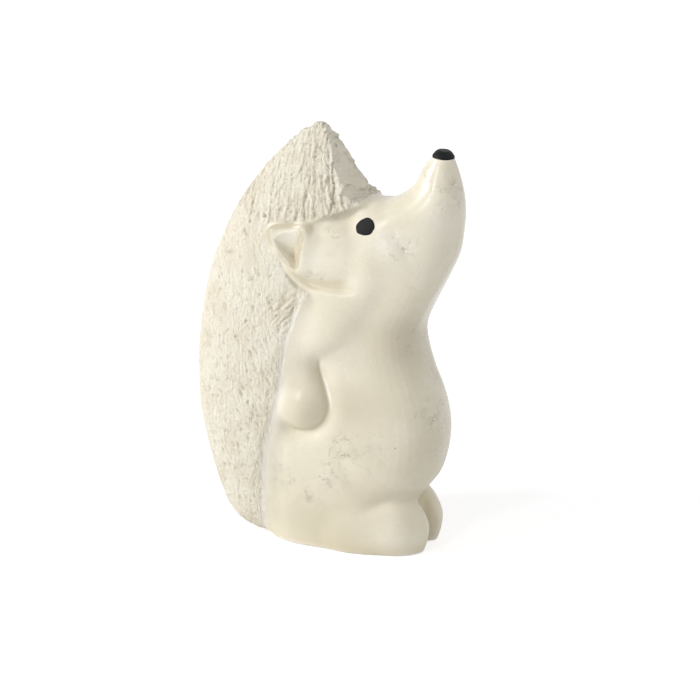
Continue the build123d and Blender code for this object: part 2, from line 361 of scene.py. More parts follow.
class Bench:
    """Lays out the nodes of one tree."""

    def __init__(self, tree: bpy.types.NodeTree) -> None:
        """Takes the tree that the nodes go into."""
        self.tree = tree

    def wire(self, node: bpy.types.Node, inputs: dict) -> bpy.types.Node:
        """Sets a node's inputs.

        Args:
            node: The node.
            inputs: Values or output sockets, by the input's name or number.

        Returns:
            The same node.
        """
        for key, value in inputs.items():
            if isinstance(value, Socket):
                self.tree.links.new(value, node.inputs[key])
            else:
                node.inputs[key].default_value = value
        return node

    def node(self, kind: str, inputs: dict | None = None, **settings: object) -> bpy.types.Node:
        """Adds a node.

        Args:
            kind: The node's type.
            inputs: Values or output sockets for its inputs, by name or number.
            **settings: The node's own settings.

        Returns:
            The new node.
        """
        node = self.tree.nodes.new(kind)
        for name, value in settings.items():
            setattr(node, name, value)
        return self.wire(node, inputs or {})

    def math(self, operation: str, *values: object) -> Socket:
        """The result of a sum on numbers."""
        return self.node("ShaderNodeMath", dict(enumerate(values)), operation=operation).outputs[0]

    def times(self, *values: object) -> Socket:
        """The numbers multiplied together."""
        return reduce(partial(self.math, "MULTIPLY"), values)

    def plus(self, *values: object) -> Socket:
        """The numbers added up."""
        return reduce(partial(self.math, "ADD"), values)

    def minus(self, first: object, second: object) -> Socket:
        """The first number less the second."""
        return self.math("SUBTRACT", first, second)

    def vector(self, operation: str, first: object, second: object) -> Socket:
        """The result of a sum on vectors, where SCALE takes a number second."""
        inputs = {0: first, "Scale" if operation == "SCALE" else 1: second}
        return self.node("ShaderNodeVectorMath", inputs, operation=operation).outputs[0]

    def xyz(self, x: object, y: object, z: object) -> Socket:
        """A vector made of three numbers."""
        return self.node("ShaderNodeCombineXYZ", {0: x, 1: y, 2: z}).outputs[0]

    def ramp(
        self, value: object, start: float, end: float, low: float = 0.0, high: float = 1.0
    ) -> Socket:
        """Turns start..end into low..high along a smooth step.

        Args:
            value: The number to turn.
            start: What turns into low.
            end: What turns into high.
            low: The result at the start and before it.
            high: The result at the end and past it.

        Returns:
            The turned number.
        """
        inputs = {"Value": value, "From Min": start, "From Max": end, "To Min": low, "To Max": high}
        found = self.node("ShaderNodeMapRange", inputs, interpolation_type="SMOOTHSTEP")
        return found.outputs["Result"]

    def blend(self, share: object, first: object, second: object) -> Socket:
        """A colour that goes from the first to the second as the share goes from 0 to 1."""
        inputs = {0: share, 6: first, 7: second}
        return self.node("ShaderNodeMix", inputs, data_type="RGBA").outputs[2]

    def stain(self, colour: Socket, amount: Socket, strength: float, screen: Colour) -> Socket:
        """Lays a screen colour over another, by an amount times its strength."""
        return self.blend(self.times(amount, strength), colour, paint(*screen))

    def noise(self, at: object, scale: float, detail: float = 2.0, rough: float = 0.5) -> Socket:
        """Cloudy noise about 0.5, with this many bumps in a millimetre."""
        inputs = {"Vector": at, "Scale": scale, "Detail": detail, "Roughness": rough}
        return self.node("ShaderNodeTexNoise", inputs).outputs["Fac"]

    def sway(self, at: object, scale: float, detail: float = 2.0) -> Socket:
        """A vector that wanders about zero, with this many turns in a millimetre."""
        noise = self.node("ShaderNodeTexNoise", {"Vector": at, "Scale": scale, "Detail": detail})
        return self.vector("SUBTRACT", noise.outputs["Color"], (0.5, 0.5, 0.5))

    def adrift(self, at: object, sway: object, reach: float) -> Socket:
        """A place moved along a sway."""
        return self.vector("ADD", at, self.vector("SCALE", sway, reach))

    def leaning(self, at: object, slant: float) -> Socket:
        """A place turned about X by a slant in degrees."""
        inputs = {"Vector": at, "Axis": (1.0, 0.0, 0.0), "Angle": math.radians(slant)}
        return self.node("ShaderNodeVectorRotate", inputs).outputs[0]

    def cells(self, at: object, scale: float, feature: str = "F1") -> bpy.types.Node:
        """Random cells, this many in a millimetre."""
        return self.node("ShaderNodeTexVoronoi", {"Vector": at, "Scale": scale}, feature=feature)

    def chances(self, cells: bpy.types.Node) -> Sockets:
        """Three random numbers from 0 to 1 that are each cell's own.

        Args:
            cells: A node that makes random cells.

        Returns:
            The three numbers' sockets.
        """
        split = "ShaderNodeSeparateColor"
        if self.tree.bl_idname == "GeometryNodeTree":
            split = "FunctionNodeSeparateColor"
        return self.node(split, {0: cells.outputs["Color"]}).outputs

    def noted(self, name: str) -> Socket:
        """A number noted on the piece's points, as a material reads it."""
        return self.node("ShaderNodeAttribute", attribute_name=name).outputs["Fac"]

    def on_mesh(self, name: str, kind: str = "FLOAT") -> Socket:
        """A number or vector noted on the piece's points, as a geometry tree reads it."""
        found = self.node("GeometryNodeInputNamedAttribute", {"Name": name}, data_type=kind)
        return found.outputs["Attribute"]

    def bump(self, height: object, distance: float = MM) -> Socket:
        """The way the surface faces when it is raised by a height."""
        inputs = {"Height": height, "Distance": distance, "Strength": 1.0}
        return self.node("ShaderNodeBump", inputs).outputs[0]


def bench_for(owner: bpy.types.Material | bpy.types.World) -> Bench:
    """Gives a material or the world an empty node tree.

    Args:
        owner: The material or world.

    Returns:
        The bench of its tree.
    """
    owner.use_nodes = True
    owner.node_tree.nodes.clear()
    return Bench(owner.node_tree)


def shader(name: str) -> tuple[bpy.types.Material, Bench, bpy.types.Node]:
    """A new material with its bench and its principled shader.

    Args:
        name: The material's name.

    Returns:
        The material, its bench and its shader node.
    """
    material = bpy.data.materials.new(name)
    bench = bench_for(material)
    main = bench.node("ShaderNodeBsdfPrincipled")
    bench.node("ShaderNodeOutputMaterial", {"Surface": main.outputs[0]})
    return material, bench, main


def object_mm(bench: Bench) -> Socket:
    """Object coordinates in millimetres."""
    return bench.vector("SCALE", bench.node("ShaderNodeTexCoord").outputs["Object"], 1 / MM)


def piece_from(name: str, points: Array, faces: list[list[int]]) -> bpy.types.Object:
    """Makes a smooth-shaded object.

    Args:
        name: The object's name.
        points: Its points, in millimetres.
        faces: Its faces, as lists of point numbers.

    Returns:
        The new object, at the origin.
    """
    mesh = bpy.data.meshes.new(name)
    mesh.from_pydata((points * MM).tolist(), [], faces)
    mesh.validate()
    mesh.shade_smooth()
    made = bpy.data.objects.new(name, mesh)
    bpy.context.scene.collection.objects.link(made)
    return made


def places(made: bpy.types.Object) -> Array:
    """Where an object's points are, in millimetres.

    Args:
        made: The object.

    Returns:
        The points, one in a row.
    """
    found = np.empty(3 * len(made.data.vertices), np.float32)
    made.data.vertices.foreach_get("co", found)
    return found.reshape(-1, 3) / MM


def settle(made: bpy.types.Object, modifier: bpy.types.Modifier) -> None:
    """Makes what a modifier gives the object's own plain mesh, and takes the modifier off.

    Args:
        made: The object.
        modifier: Its modifier.
    """
    scene = bpy.context.evaluated_depsgraph_get()
    solid = bpy.data.meshes.new_from_object(
        made.evaluated_get(scene), preserve_all_data_layers=True, depsgraph=scene
    )
    made.modifiers.remove(modifier)
    plain, made.data = made.data, solid
    bpy.data.meshes.remove(plain)


def thinned(made: bpy.types.Object, most: int = 196_000) -> bpy.types.Object:
    """Merges faces where the surface is plain, until few enough triangles are left.

    Args:
        made: The object to thin.
        most: How many triangles it may keep.

    Returns:
        The same object.
    """
    made.data.calc_loop_triangles()
    count = len(made.data.loop_triangles)
    if count > most:
        thin = made.modifiers.new("thin", "DECIMATE")
        thin.ratio = most / count
        settle(made, thin)
    made.data.shade_smooth()
    return made


def note(made: bpy.types.Object, name: str, values: Array) -> None:
    """Stores one number, or one vector, for each point of a mesh.

    Args:
        made: The object.
        name: What the numbers are called.
        values: One number or vector for each point.
    """
    kind, field = ("FLOAT", "value") if values.ndim == 1 else ("FLOAT_VECTOR", "vector")
    layer = made.data.attributes.new(name, kind, "POINT")
    layer.data.foreach_set(field, np.ascontiguousarray(values, np.float32).ravel())


def seat(
    made: bpy.types.Object, node: str, material: bpy.types.Material | None = None
) -> bpy.types.Object:
    """Puts a finished piece in the place of its solid, and reports it.

    Args:
        made: The piece.
        node: The solid that it replaces.
        material: What it is made of, unless its mesh has that already.

    Returns:
        The same piece.
    """
    if material:
        made.data.materials.append(material)
    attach(made, "root")
    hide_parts(node)
    made.data.calc_loop_triangles()
    LOG.info("%s: %d triangles", made.name, len(made.data.loop_triangles))
    return made


# ---- finishes ----


@dataclass(frozen=True)
class PolishedStone:
    """Cream soapstone, waxed and polished to a satin sheen, with faint grey veins, and with painted
    shade and painted light in its colour.
    """

    cream: Colour = (227, 220, 198)
    milk: Colour = (232, 225, 206)
    # The colour of painted shade.
    dusk: Colour = (196, 186, 162)
    # The colour of painted shade in creases and folds.
    warm_shade: Colour = (202, 187, 152)
    # The colour of painted light, and of edges worn pale or painted as highlights.
    rubbed_and_lit: Colour = (248, 244, 233)
    vein: Colour = (142, 134, 120)
    roughness: float = 0.23
    gloss: float = 0.42
    bend: float = 5.0
    thread: float = 0.022
    smudging: float = 0.26
    haze: float = 0.12
    warm_shading: float = 0.65
    wear_and_highlight: float = 0.8
    dulling: float = 0.2
    pitting: float = 0.55
    pit_depth: float = 0.1
    rub_depth: float = 0.004

    def veining(self, bench: Bench, at: Socket) -> Socket:
        """How strong the stone's threads, smudges and haze are.

        Args:
            bench: The bench of the tree.
            at: The place in millimetres.

        Returns:
            A number from 0, where the stone is plain, upwards.
        """
        bent = bench.adrift(at, bench.sway(at, 0.25, 3.0), self.bend)
        flow = bench.noise(bent, 0.17, 5.0, 0.6)
        thread = bench.ramp(bench.math("ABSOLUTE", bench.minus(flow, 0.5)), self.thread, 0.0)
        broken = bench.ramp(bench.noise(at, 0.35), 0.42, 0.62)
        smudge = bench.ramp(bench.noise(bent, 0.3, 4.0, 0.6), 0.48, 0.66)
        haze = bench.times(bench.ramp(flow, 0.49, 0.53), self.haze)
        marks = bench.plus(bench.times(thread, broken), bench.times(smudge, self.smudging), haze)
        return bench.times(marks, bench.noted("veined"))

    def material(self) -> bpy.types.Material:
        """Builds the material.

        Returns:
            The new material.
        """
        material, bench, main = shader("polished stone")
        at = object_mm(bench)
        cloud = bench.ramp(bench.noise(at, 0.07, 4.0, 0.6), 0.40, 0.62)
        colour = bench.blend(cloud, paint(*self.cream), paint(*self.milk))
        colour = bench.blend(self.veining(bench, at), colour, paint(*self.vein))

        # Painted shade above zero and painted light below zero, noted on the mesh, laid over the
        # stone's colour.
        tone = bench.noted("tone")
        for side, screen in ((1.0, self.dusk), (-1.0, self.rubbed_and_lit)):
            share = bench.math("MAXIMUM", bench.times(tone, side), 0.0)
            colour = bench.blend(share, colour, paint(*screen))
        # Painted shade in the folds and creases, the cleft, the hand's turned sides and near the
        # floor.
        colour = bench.stain(colour, bench.noted("hollow"), self.warm_shading, self.warm_shade)
        # Paler edges, partly wear and partly painted highlight, and painted highlights on the ear's
        # pit rim and beside the hand.
        colour = bench.stain(colour, bench.noted("worn"), self.wear_and_highlight, self.rubbed_and_lit)
        pits = bench.cells(at, 0.22)
        rare = bench.math("GREATER_THAN", bench.chances(pits)[0], 0.86)
        pit = bench.times(bench.ramp(pits.outputs["Distance"], 0.07, 0.03), rare)
        colour = bench.stain(colour, pit, self.pitting, self.vein)

        rub = bench.noise(at, 1.6, 3.0)
        sheen = bench.ramp(rub, 0.3, 0.7, self.roughness - 0.03, self.roughness + 0.05)
        sheen = bench.plus(sheen, bench.times(bench.noted("dull"), self.dulling))
        height = bench.minus(bench.times(rub, self.rub_depth), bench.times(pit, self.pit_depth))
        inputs = {"Base Color": colour, "Roughness": sheen, "Normal": bench.bump(height)}
        bench.wire(main, inputs | {"Specular IOR Level": self.gloss})
        return material


@dataclass(frozen=True)
class ChiselledStone:
    """The same stone left rough from the chisel, white and powdery, with grey specks and streaks,
    painted shade in its hollows, and painted light on the hood's front face.
    """

    face: Colour = (245, 239, 222)
    dusk: Colour = (239, 231, 211)
    # Grey-brown for painted shade in the recesses, and for the grey specks and streaks.
    hollow: Colour = (186, 174, 147)
    smooth: Colour = (250, 246, 234)
    # A whiter colour for painted light on the hood's front face.
    painted_light_white: Colour = (255, 249, 232)
    roughness: float = 0.85
    gloss: float = 0.25
    shading: float = 0.60
    specks: float = 0.30
    streaks: float = 0.45
    fading: float = 0.8
    hood_front_lighting: float = 0.85
    grain: float = 0.55

    def material(self) -> bpy.types.Material:
        """Builds the material.

        Returns:
            The new material.
        """
        material, bench, main = shader("chiselled stone")
        at = object_mm(bench)
        cloud = bench.ramp(bench.noise(at, 0.12, 3.0), 0.4, 0.65)
        colour = bench.blend(cloud, paint(*self.face), paint(*self.dusk))
        # Painted shade: the deeper the chisel's relief, the darker.
        low = bench.ramp(bench.noted("relief"), -0.24, -0.76)
        grit = bench.noise(at, 1.6, 4.0, 0.75)
        comb = bench.noise(bench.vector("MULTIPLY", at, (1.0, 1.0, 0.24)), 1.6, 3.0, 0.65)
        streak = bench.times(bench.ramp(comb, 0.47, 0.34), bench.noted("combed"))
        fade = bench.noted("fade")
        for amount, strength, screen in (
            (low, self.shading, self.hollow),
            (bench.ramp(grit, 0.54, 0.68), self.specks, self.hollow),
            (streak, self.streaks, self.hollow),
            (fade, self.fading, self.smooth),
            # Painted light on the hood's front face.
            (bench.noted("lit_hood_front"), self.hood_front_lighting, self.painted_light_white),
        ):
            colour = bench.stain(colour, amount, strength, screen)
        height = bench.plus(bench.times(grit, self.grain), bench.times(comb, self.grain))
        height = bench.times(height, bench.minus(1.0, fade))
        inputs = {"Base Color": colour, "Roughness": self.roughness, "Normal": bench.bump(height)}
        bench.wire(main, inputs | {"Specular IOR Level": self.gloss})
        return material


@dataclass(frozen=True)
class BlackLacquer:
    """Black enamel put on with a brush."""

    black: Colour = (20, 21, 21)
    worn: Colour = (34, 34, 33)
    roughness: float = 0.48
    gloss: float = 0.12
    stroke_depth: float = 0.06

    def material(self) -> bpy.types.Material:
        """Builds the material.

        Returns:
            The new material.
        """
        material, bench, main = shader("black lacquer")
        at = bench.vector("MULTIPLY", object_mm(bench), (1.0, 0.35, 1.0))
        strokes = bench.noise(at, 2.4, 3.0)
        colour = bench.blend(bench.ramp(strokes, 0.4, 0.7), paint(*self.black), paint(*self.worn))
        sheen = bench.ramp(strokes, 0.3, 0.7, self.roughness - 0.06, self.roughness + 0.12)
        facing = bench.bump(strokes, self.stroke_depth * MM)
        inputs = {"Base Color": colour, "Roughness": sheen, "Normal": facing}
        bench.wire(main, inputs | {"Specular IOR Level": self.gloss})
        return material


@dataclass(frozen=True)
class StudioWhite:
    """The floor: white paper that takes the figure's shadow."""

    white: Colour = (240, 240, 241)
    lift: float = 0.48

    def material(self) -> bpy.types.Material:
        """Builds the material.

        Returns:
            The new material.
        """
        material = bpy.data.materials.new("studio white")
        bench = bench_for(material)
        paper = bench.node("ShaderNodeBsdfDiffuse", {"Color": paint(*self.white)})
        lift = bench.times(background_rays(bench), self.lift)
        glow = bench.node("ShaderNodeEmission", {"Strength": lift})
        both = bench.node("ShaderNodeAddShader", {0: paper.outputs[0], 1: glow.outputs[0]})
        bench.node("ShaderNodeOutputMaterial", {"Surface": both.outputs[0]})
        return material


def background_rays(bench: Bench) -> Socket:
    """One where the camera, a gloss or a clear surface sees the backdrop, zero elsewhere.

    Args:
        bench: The bench of the tree.

    Returns:
        The number's socket.
    """
    rays = bench.node("ShaderNodeLightPath").outputs
    seen = bench.math("MAXIMUM", rays["Is Camera Ray"], rays["Is Glossy Ray"])
    return bench.math("MAXIMUM", seen, rays["Is Transmission Ray"])


# ---- the stone ----


@dataclass(frozen=True)
class Block:
    """The block that the figure is carved from, which places are shares of."""

    depth: float = 79.0
    height: float = 120.0
    body_width: float = 32.0
    coat_step: float = 1.8

    def y(self, share: Array | float) -> Array | float:
        """The Y of a share of the depth, counted from the front."""
        return (share - 0.5) * self.depth

    def z(self, share: Array | float) -> Array | float:
        """The Z of a share of the height."""
        return share * self.height


@dataclass(frozen=True)
class Trunk:
    """Belly, chest, throat and snout, as one form that bends forward at the neck.

    Each row has a section's front end and rear end as shares of the block's depth and height, its
    share of the body's half width, and its squareness.
    """

    block: Block
    snout_radius: float = 3.1
    snout_tilt: float = 85.0
    snout_shares: Pair = (0.080, 0.945)
    shares: Table = (
        (0.201, 0.000, 0.685, 0.000, 0.875, 3.6),
        (0.176, 0.025, 0.715, 0.025, 0.890, 3.4),
        (0.161, 0.067, 0.758, 0.067, 0.895, 3.0),
        (0.148, 0.117, 0.790, 0.117, 0.893, 3.0),
        (0.128, 0.146, 0.809, 0.146, 0.895, 3.0),
        (0.091, 0.183, 0.822, 0.183, 0.935, 3.0),
        (0.068, 0.233, 0.834, 0.233, 0.980, 3.0),
        (0.059, 0.283, 0.847, 0.283, 0.990, 3.0),
        (0.065, 0.333, 0.859, 0.333, 0.968, 3.0),
        (0.085, 0.383, 0.859, 0.383, 0.927, 3.0),
        (0.116, 0.433, 0.859, 0.433, 0.887, 3.0),
        (0.143, 0.492, 0.859, 0.492, 0.845, 3.0),
        (0.147, 0.542, 0.847, 0.542, 0.805, 3.0),
        (0.110, 0.600, 0.834, 0.600, 0.762, 3.0),
        (0.061, 0.662, 0.771, 0.692, 0.715, 2.7),
        (0.020, 0.721, 0.619, 0.767, 0.672, 2.45),
        (0.005, 0.775, 0.442, 0.813, 0.615, 2.2),
        (0.001, 0.825, 0.284, 0.835, 0.535, 2.2),
        (0.008, 0.871, 0.190, 0.872, 0.412, 2.0),
        (0.024, 0.912, 0.154, 0.915, 0.292, 2.0),
    )

    def snout(self) -> tuple[Array, Array, Array]:
        """The middle of the snout's end, the way it points, and the way back across it.

        Returns:
            A point in millimetres and two unit vectors.
        """
        tilt = math.radians(self.snout_tilt)
        y, z = self.snout_shares
        end = np.array([0.0, self.block.y(y), self.block.z(z)])
        ahead = np.array([0.0, -math.cos(tilt), math.sin(tilt)])
        return end, ahead, np.array([0.0, math.sin(tilt), math.cos(tilt)])

    def rings(self) -> Array:
        """The sections, from the soles to the snout's end.

        Returns:
            Rings of points, in millimetres.
        """
        rows = np.array(self.shares)
        rows[:, [0, 2]] = self.block.y(rows[:, [0, 2]])
        rows[:, [1, 3]] = self.block.z(rows[:, [1, 3]])
        rows[:, 4] *= self.block.body_width / 2
        end, _, across = self.snout()
        front, rear = end - across * self.snout_radius, end + across * self.snout_radius
        rows = np.vstack([rows, [front[1], front[2], rear[1], rear[2], self.snout_radius, 2.0]])
        rings = []
        for y0, z0, y1, z1, half, squareness in faired(rows, 5):
            middle = (0.0, (y0 + y1) / 2, (z0 + z1) / 2)
            rings.append(oval(middle, half, ((y1 - y0) / 2, (z1 - z0) / 2), squareness))
        return np.array(rings)


@dataclass(frozen=True)
class Cheeks:
    """The broad part of the head, with the brow above and the jaw below.

    Each row has the share of the block's depth and height at a section's middle, its upward tilt
    in degrees, its share of the head's half height and half width, and its squareness.
    """

    block: Block
    width: float = 28.0
    height: float = 23.6
    shares: Table = (
        (0.670, 0.717, 4.0, 0.640, 0.930, 2.8),
        (0.581, 0.713, 4.0, 0.850, 1.000, 3.0),
        (0.467, 0.712, 8.0, 1.020, 0.965, 2.7),
        (0.353, 0.719, 18.0, 1.035, 0.895, 2.35),
        (0.246, 0.748, 36.0, 0.900, 0.650, 2.1),
    )
    jowl_shares: Table = (
        (0.608, 0.664, 0.24, 0.90),
        (0.563, 0.662, 0.38, 0.99),
        (0.513, 0.661, 0.43, 1.01),
        (0.449, 0.660, 0.42, 0.965),
        (0.392, 0.660, 0.36, 0.89),
        (0.348, 0.660, 0.24, 0.78),
    )
    jowl_squareness: float = 5.0

    def jowls(self) -> Array:
        """The sections of the full edge below the ears, from the rear to the front.

        Returns:
            Rings of points, in millimetres.
        """
        rings = []
        for y, z, tall, wide in faired(np.array(self.jowl_shares), 6):
            middle = (0.0, self.block.y(y), self.block.z(z))
            up = (0.0, tall * self.height / 2)
            rings.append(oval(middle, wide * self.width / 2, up, self.jowl_squareness))
        return np.array(rings)

    def rings(self) -> Array:
        """The sections, from the back of the head to the snout.

        Returns:
            Rings of points, in millimetres.
        """
        rings = []
        for y, z, tilt, tall, wide, squareness in faired(np.array(self.shares), 6):
            turn = math.radians(tilt)
            middle = (0.0, self.block.y(y), self.block.z(z))
            up = np.array([math.sin(turn), math.cos(turn)]) * tall * self.height / 2
            rings.append(oval(middle, wide * self.width / 2, up, squareness))
        return np.array(rings)


@dataclass(frozen=True)
class Ear:
    """The left ear: a flap on the cheek with a three-sided pit cut into it."""

    block: Block
    cheeks: Cheeks
    length: float = 9.4
    height: float = 12.0
    rim: float = 1.5
    stand: float = 0.55
    lean: float = 0.11
    lean_up: float = 0.07
    pit_depth: float = 4.0
    pit_clear: float = 0.6
    place_shares: Pair = (0.587, 0.728)
    corner_shares: Table = ((0.50, 0.27), (-0.43, 0.38), (-0.26, -0.47))
    deepest_shares: Pair = (-0.06, -0.24)
    bows: tuple[float, ...] = (0.6, 0.0, 1.1)

    def corners(self, x: float) -> Array:
        """The pit's three corners: rear, front and lowest, with the rear one at this X.

        Args:
            x: The rear corner's X.

        Returns:
            Three points in millimetres, one in a row.
        """
        y, z = self.block.y(self.place_shares[0]), self.block.z(self.place_shares[1])
        rear, low = self.corner_shares[0][0], self.corner_shares[2][1]
        found = []
        for a, b in self.corner_shares:
            in_by = self.lean * (rear - a) * self.length + self.lean_up * (b - low) * self.height
            found.append((x - in_by, y + a * self.length, z + b * self.height))
        return np.array(found)

    def rings(self) -> Array:
        """The flap's sections, from inside the cheek outwards.

        Returns:
            Rings of points, in millimetres.
        """
        outer = self.cheeks.width / 2 + self.stand
        rings = []
        for x, spread in ((outer / 2, 2.0), (outer - 0.6, 1.0), (outer, 0.6)):
            corners = self.corners(x)
            middle = corners.mean(0)
            sides = (corners + np.roll(corners, -1, 0)) / 2
            away = sides - middle
            away /= np.linalg.norm(away, axis=1, keepdims=True)
            bowed = sides + away * np.array(self.bows)[:, None]
            ring = np.stack([corners, bowed], 1).reshape(-1, 3)
            away = ring - middle
            away /= np.linalg.norm(away, axis=1, keepdims=True)
            ring = ring + away * (spread * self.rim)
            rings.append(faired(ring, 10, closed=True))
        return np.array(rings)

    def pit(self, lattice: Lattice) -> Array:
        """Measures what is cut out of the flap.

        Args:
            lattice: The sample points.

        Returns:
            Distances, negative in the pit.
        """
        outer = self.cheeks.width / 2 + self.stand + self.pit_clear
        corners = self.corners(outer)
        y, z = self.block.y(self.place_shares[0]), self.block.z(self.place_shares[1])
        low_y, low_z = self.deepest_shares
        y, z = y + low_y * self.length, z + low_z * self.height
        deepest = np.array([outer - self.pit_depth, y, z])
        axes = lattice.axes()
        cut = None
        for first, second, bow in zip(corners, np.roll(corners, -1, 0), self.bows):
            normal = np.cross(second - first, deepest - first)
            normal /= np.linalg.norm(normal)
            if normal[0] > 0:
                normal = -normal
            wall = sum(a * n for a, n in zip(axes, normal)) - first @ normal
            run = second - first
            share = sum(a * r for a, r in zip(axes, run)) - first @ run
            share = np.clip(share / (run @ run), 0.0, 1.0)
            wall = wall - bow * 4 * share * (1 - share)
            cut = wall if cut is None else trim(cut, wall, 0.15)
        return cut


@dataclass(frozen=True)
class Arm:
    """The left arm, hanging from the shoulder with the hand on the hip.

    Each row has a section's share of the length, of the swing, of the half width and half
    thickness, of the distance from the middle plane, and its squareness.
    """

    block: Block
    hand_height: float = 35.0
    length: float = 39.0
    width: float = 15.6
    thickness: float = 10.4
    sink: float = 3.6
    swing: float = 12.5
    place_share: float = 0.537
    shares: Table = (
        (0.000, 0.00, 0.34, 0.35, 1.00, 2.0),
        (0.030, 0.00, 0.62, 0.65, 1.00, 2.0),
        (0.100, 0.00, 0.92, 0.91, 1.00, 2.0),
        (0.205, 0.02, 1.00, 0.93, 1.00, 2.0),
        (0.333, -0.02, 0.86, 0.81, 1.00, 2.0),
        (0.487, -0.08, 0.72, 0.76, 1.00, 2.0),
        (0.640, 0.10, 0.86, 0.80, 0.96, 1.9),
        (0.795, 0.42, 0.97, 0.84, 0.87, 1.7),
        (0.920, 0.72, 0.97, 0.78, 0.83, 1.6),
        (1.010, 0.94, 0.90, 0.68, 0.79, 1.7),
        (1.090, 1.12, 0.66, 0.40, 0.72, 2.0),
    )
    blade_shares: Table = (
        (0.450, 0.570, 0.025, 0.80),
        (0.483, 0.557, 0.051, 0.90),
        (0.533, 0.532, 0.070, 0.930),
        (0.583, 0.506, 0.076, 0.920),
        (0.625, 0.481, 0.076, 0.880),
        (0.658, 0.468, 0.051, 0.750),
    )
    blade_inner: float = 0.56
    blade_squareness: float = 2.6
    palm_radius: float = 6.5
    palm_shares: Place = (0.96, 0.546, 0.350)

    def blade(self) -> Array:
        """The sections of the flat behind the arm's crest, from the elbow up.

        Returns:
            Rings of points, in millimetres.
        """
        half, inner = self.block.body_width / 2, self.blade_inner
        rings = []
        for z, y, deep, outer in faired(np.array(self.blade_shares), 5):
            middle = ((outer + inner) / 2 * half, self.block.y(y), self.block.z(z))
            along = (deep * self.block.depth, 0.0)
            rings.append(oval(middle, (outer - inner) / 2 * half, along, self.blade_squareness))
        return np.array(rings)

    def palm(self, lattice: Lattice) -> Array:
        """Measures the ball of both hands.

        Args:
            lattice: The sample points.

        Returns:
            Distances, negative inside the balls.
        """
        x, y, z = lattice.axes()
        out = self.palm_shares[0] * (self.block.body_width / 2 - self.sink)
        ahead, up = y - self.block.y(self.palm_shares[1]), z - self.block.z(self.palm_shares[2])
        away = np.sqrt((np.abs(x) - out) ** 2 + ahead**2 + up**2)
        return (away - self.palm_radius).astype(np.float32)

    def rings(self) -> Array:
        """The sections, from the bottom of the hand to the shoulder.

        Returns:
            Rings of points, in millimetres.
        """
        x_mid = self.block.body_width / 2 - self.sink
        rings = []
        for z, swing, wide, thick, lean, squareness in faired(np.array(self.shares), 5):
            y = self.block.y(self.place_share) - swing * self.swing
            middle = (x_mid * lean, y, self.hand_height + z * self.length)
            along = (wide * self.width / 2, 0.0)
            rings.append(oval(middle, thick * self.thickness / 2, along, squareness))
        return np.array(rings)


@dataclass(frozen=True)
class Foot:
    """The left foot, beside the cleft.

    Each row of shares has a section's share of the height, of the length taken off at the front
    and the rear, and of the width taken off at the inner and outer side.
    """

    block: Block
    height: float = 18.8
    width: float = 13.8
    length: float = 26.0
    cleft: float = 1.8
    front_share: float = 0.099
    fall: float = 0.44
    fall_shares: Pair = (0.10, 0.92)
    shares: Table = (
        (0.00, 0.055, 0.04, 0.050, 0.120),
        (0.20, 0.010, 0.01, 0.015, 0.030),
        (0.45, 0.000, 0.00, 0.000, 0.000),
        (0.70, 0.090, 0.03, 0.030, 0.030),
        (0.88, 0.220, 0.12, 0.100, 0.120),
        (1.00, 0.380, 0.25, 0.230, 0.320),
    )
    outline_shares: Table = (
        (0.07, 0.17), (0.18, 0.03), (0.36, 0.00), (0.60, 0.06), (0.84, 0.20), (0.98, 0.45),
        (0.97, 0.80), (0.80, 0.98), (0.30, 1.00), (0.04, 0.85), (0.00, 0.50),
    )

    def rings(self) -> Array:
        """The sections, from the sole up.

        Returns:
            Rings of points, in millimetres.
        """
        outline = faired(np.array(self.outline_shares), 6, closed=True)
        front = self.block.y(self.front_share)
        rings = []
        for z, fore, aft, inner, outer in faired(np.array(self.shares), 5):
            y0, y1 = front + fore * self.length, front + (1 - aft) * self.length
            x0 = self.cleft / 2 + inner * self.width
            x1 = self.cleft / 2 + (1 - outer) * self.width
            x = x0 + outline[:, 0] * (x1 - x0)
            y = y0 + outline[:, 1] * (y1 - y0)
            start, end = (front + share * self.length for share in self.fall_shares)
            slope = 1.0 - self.fall * ease(y, start, end)
            rings.append(np.stack([x, y, z * self.height * slope], 1))
        return np.array(rings)


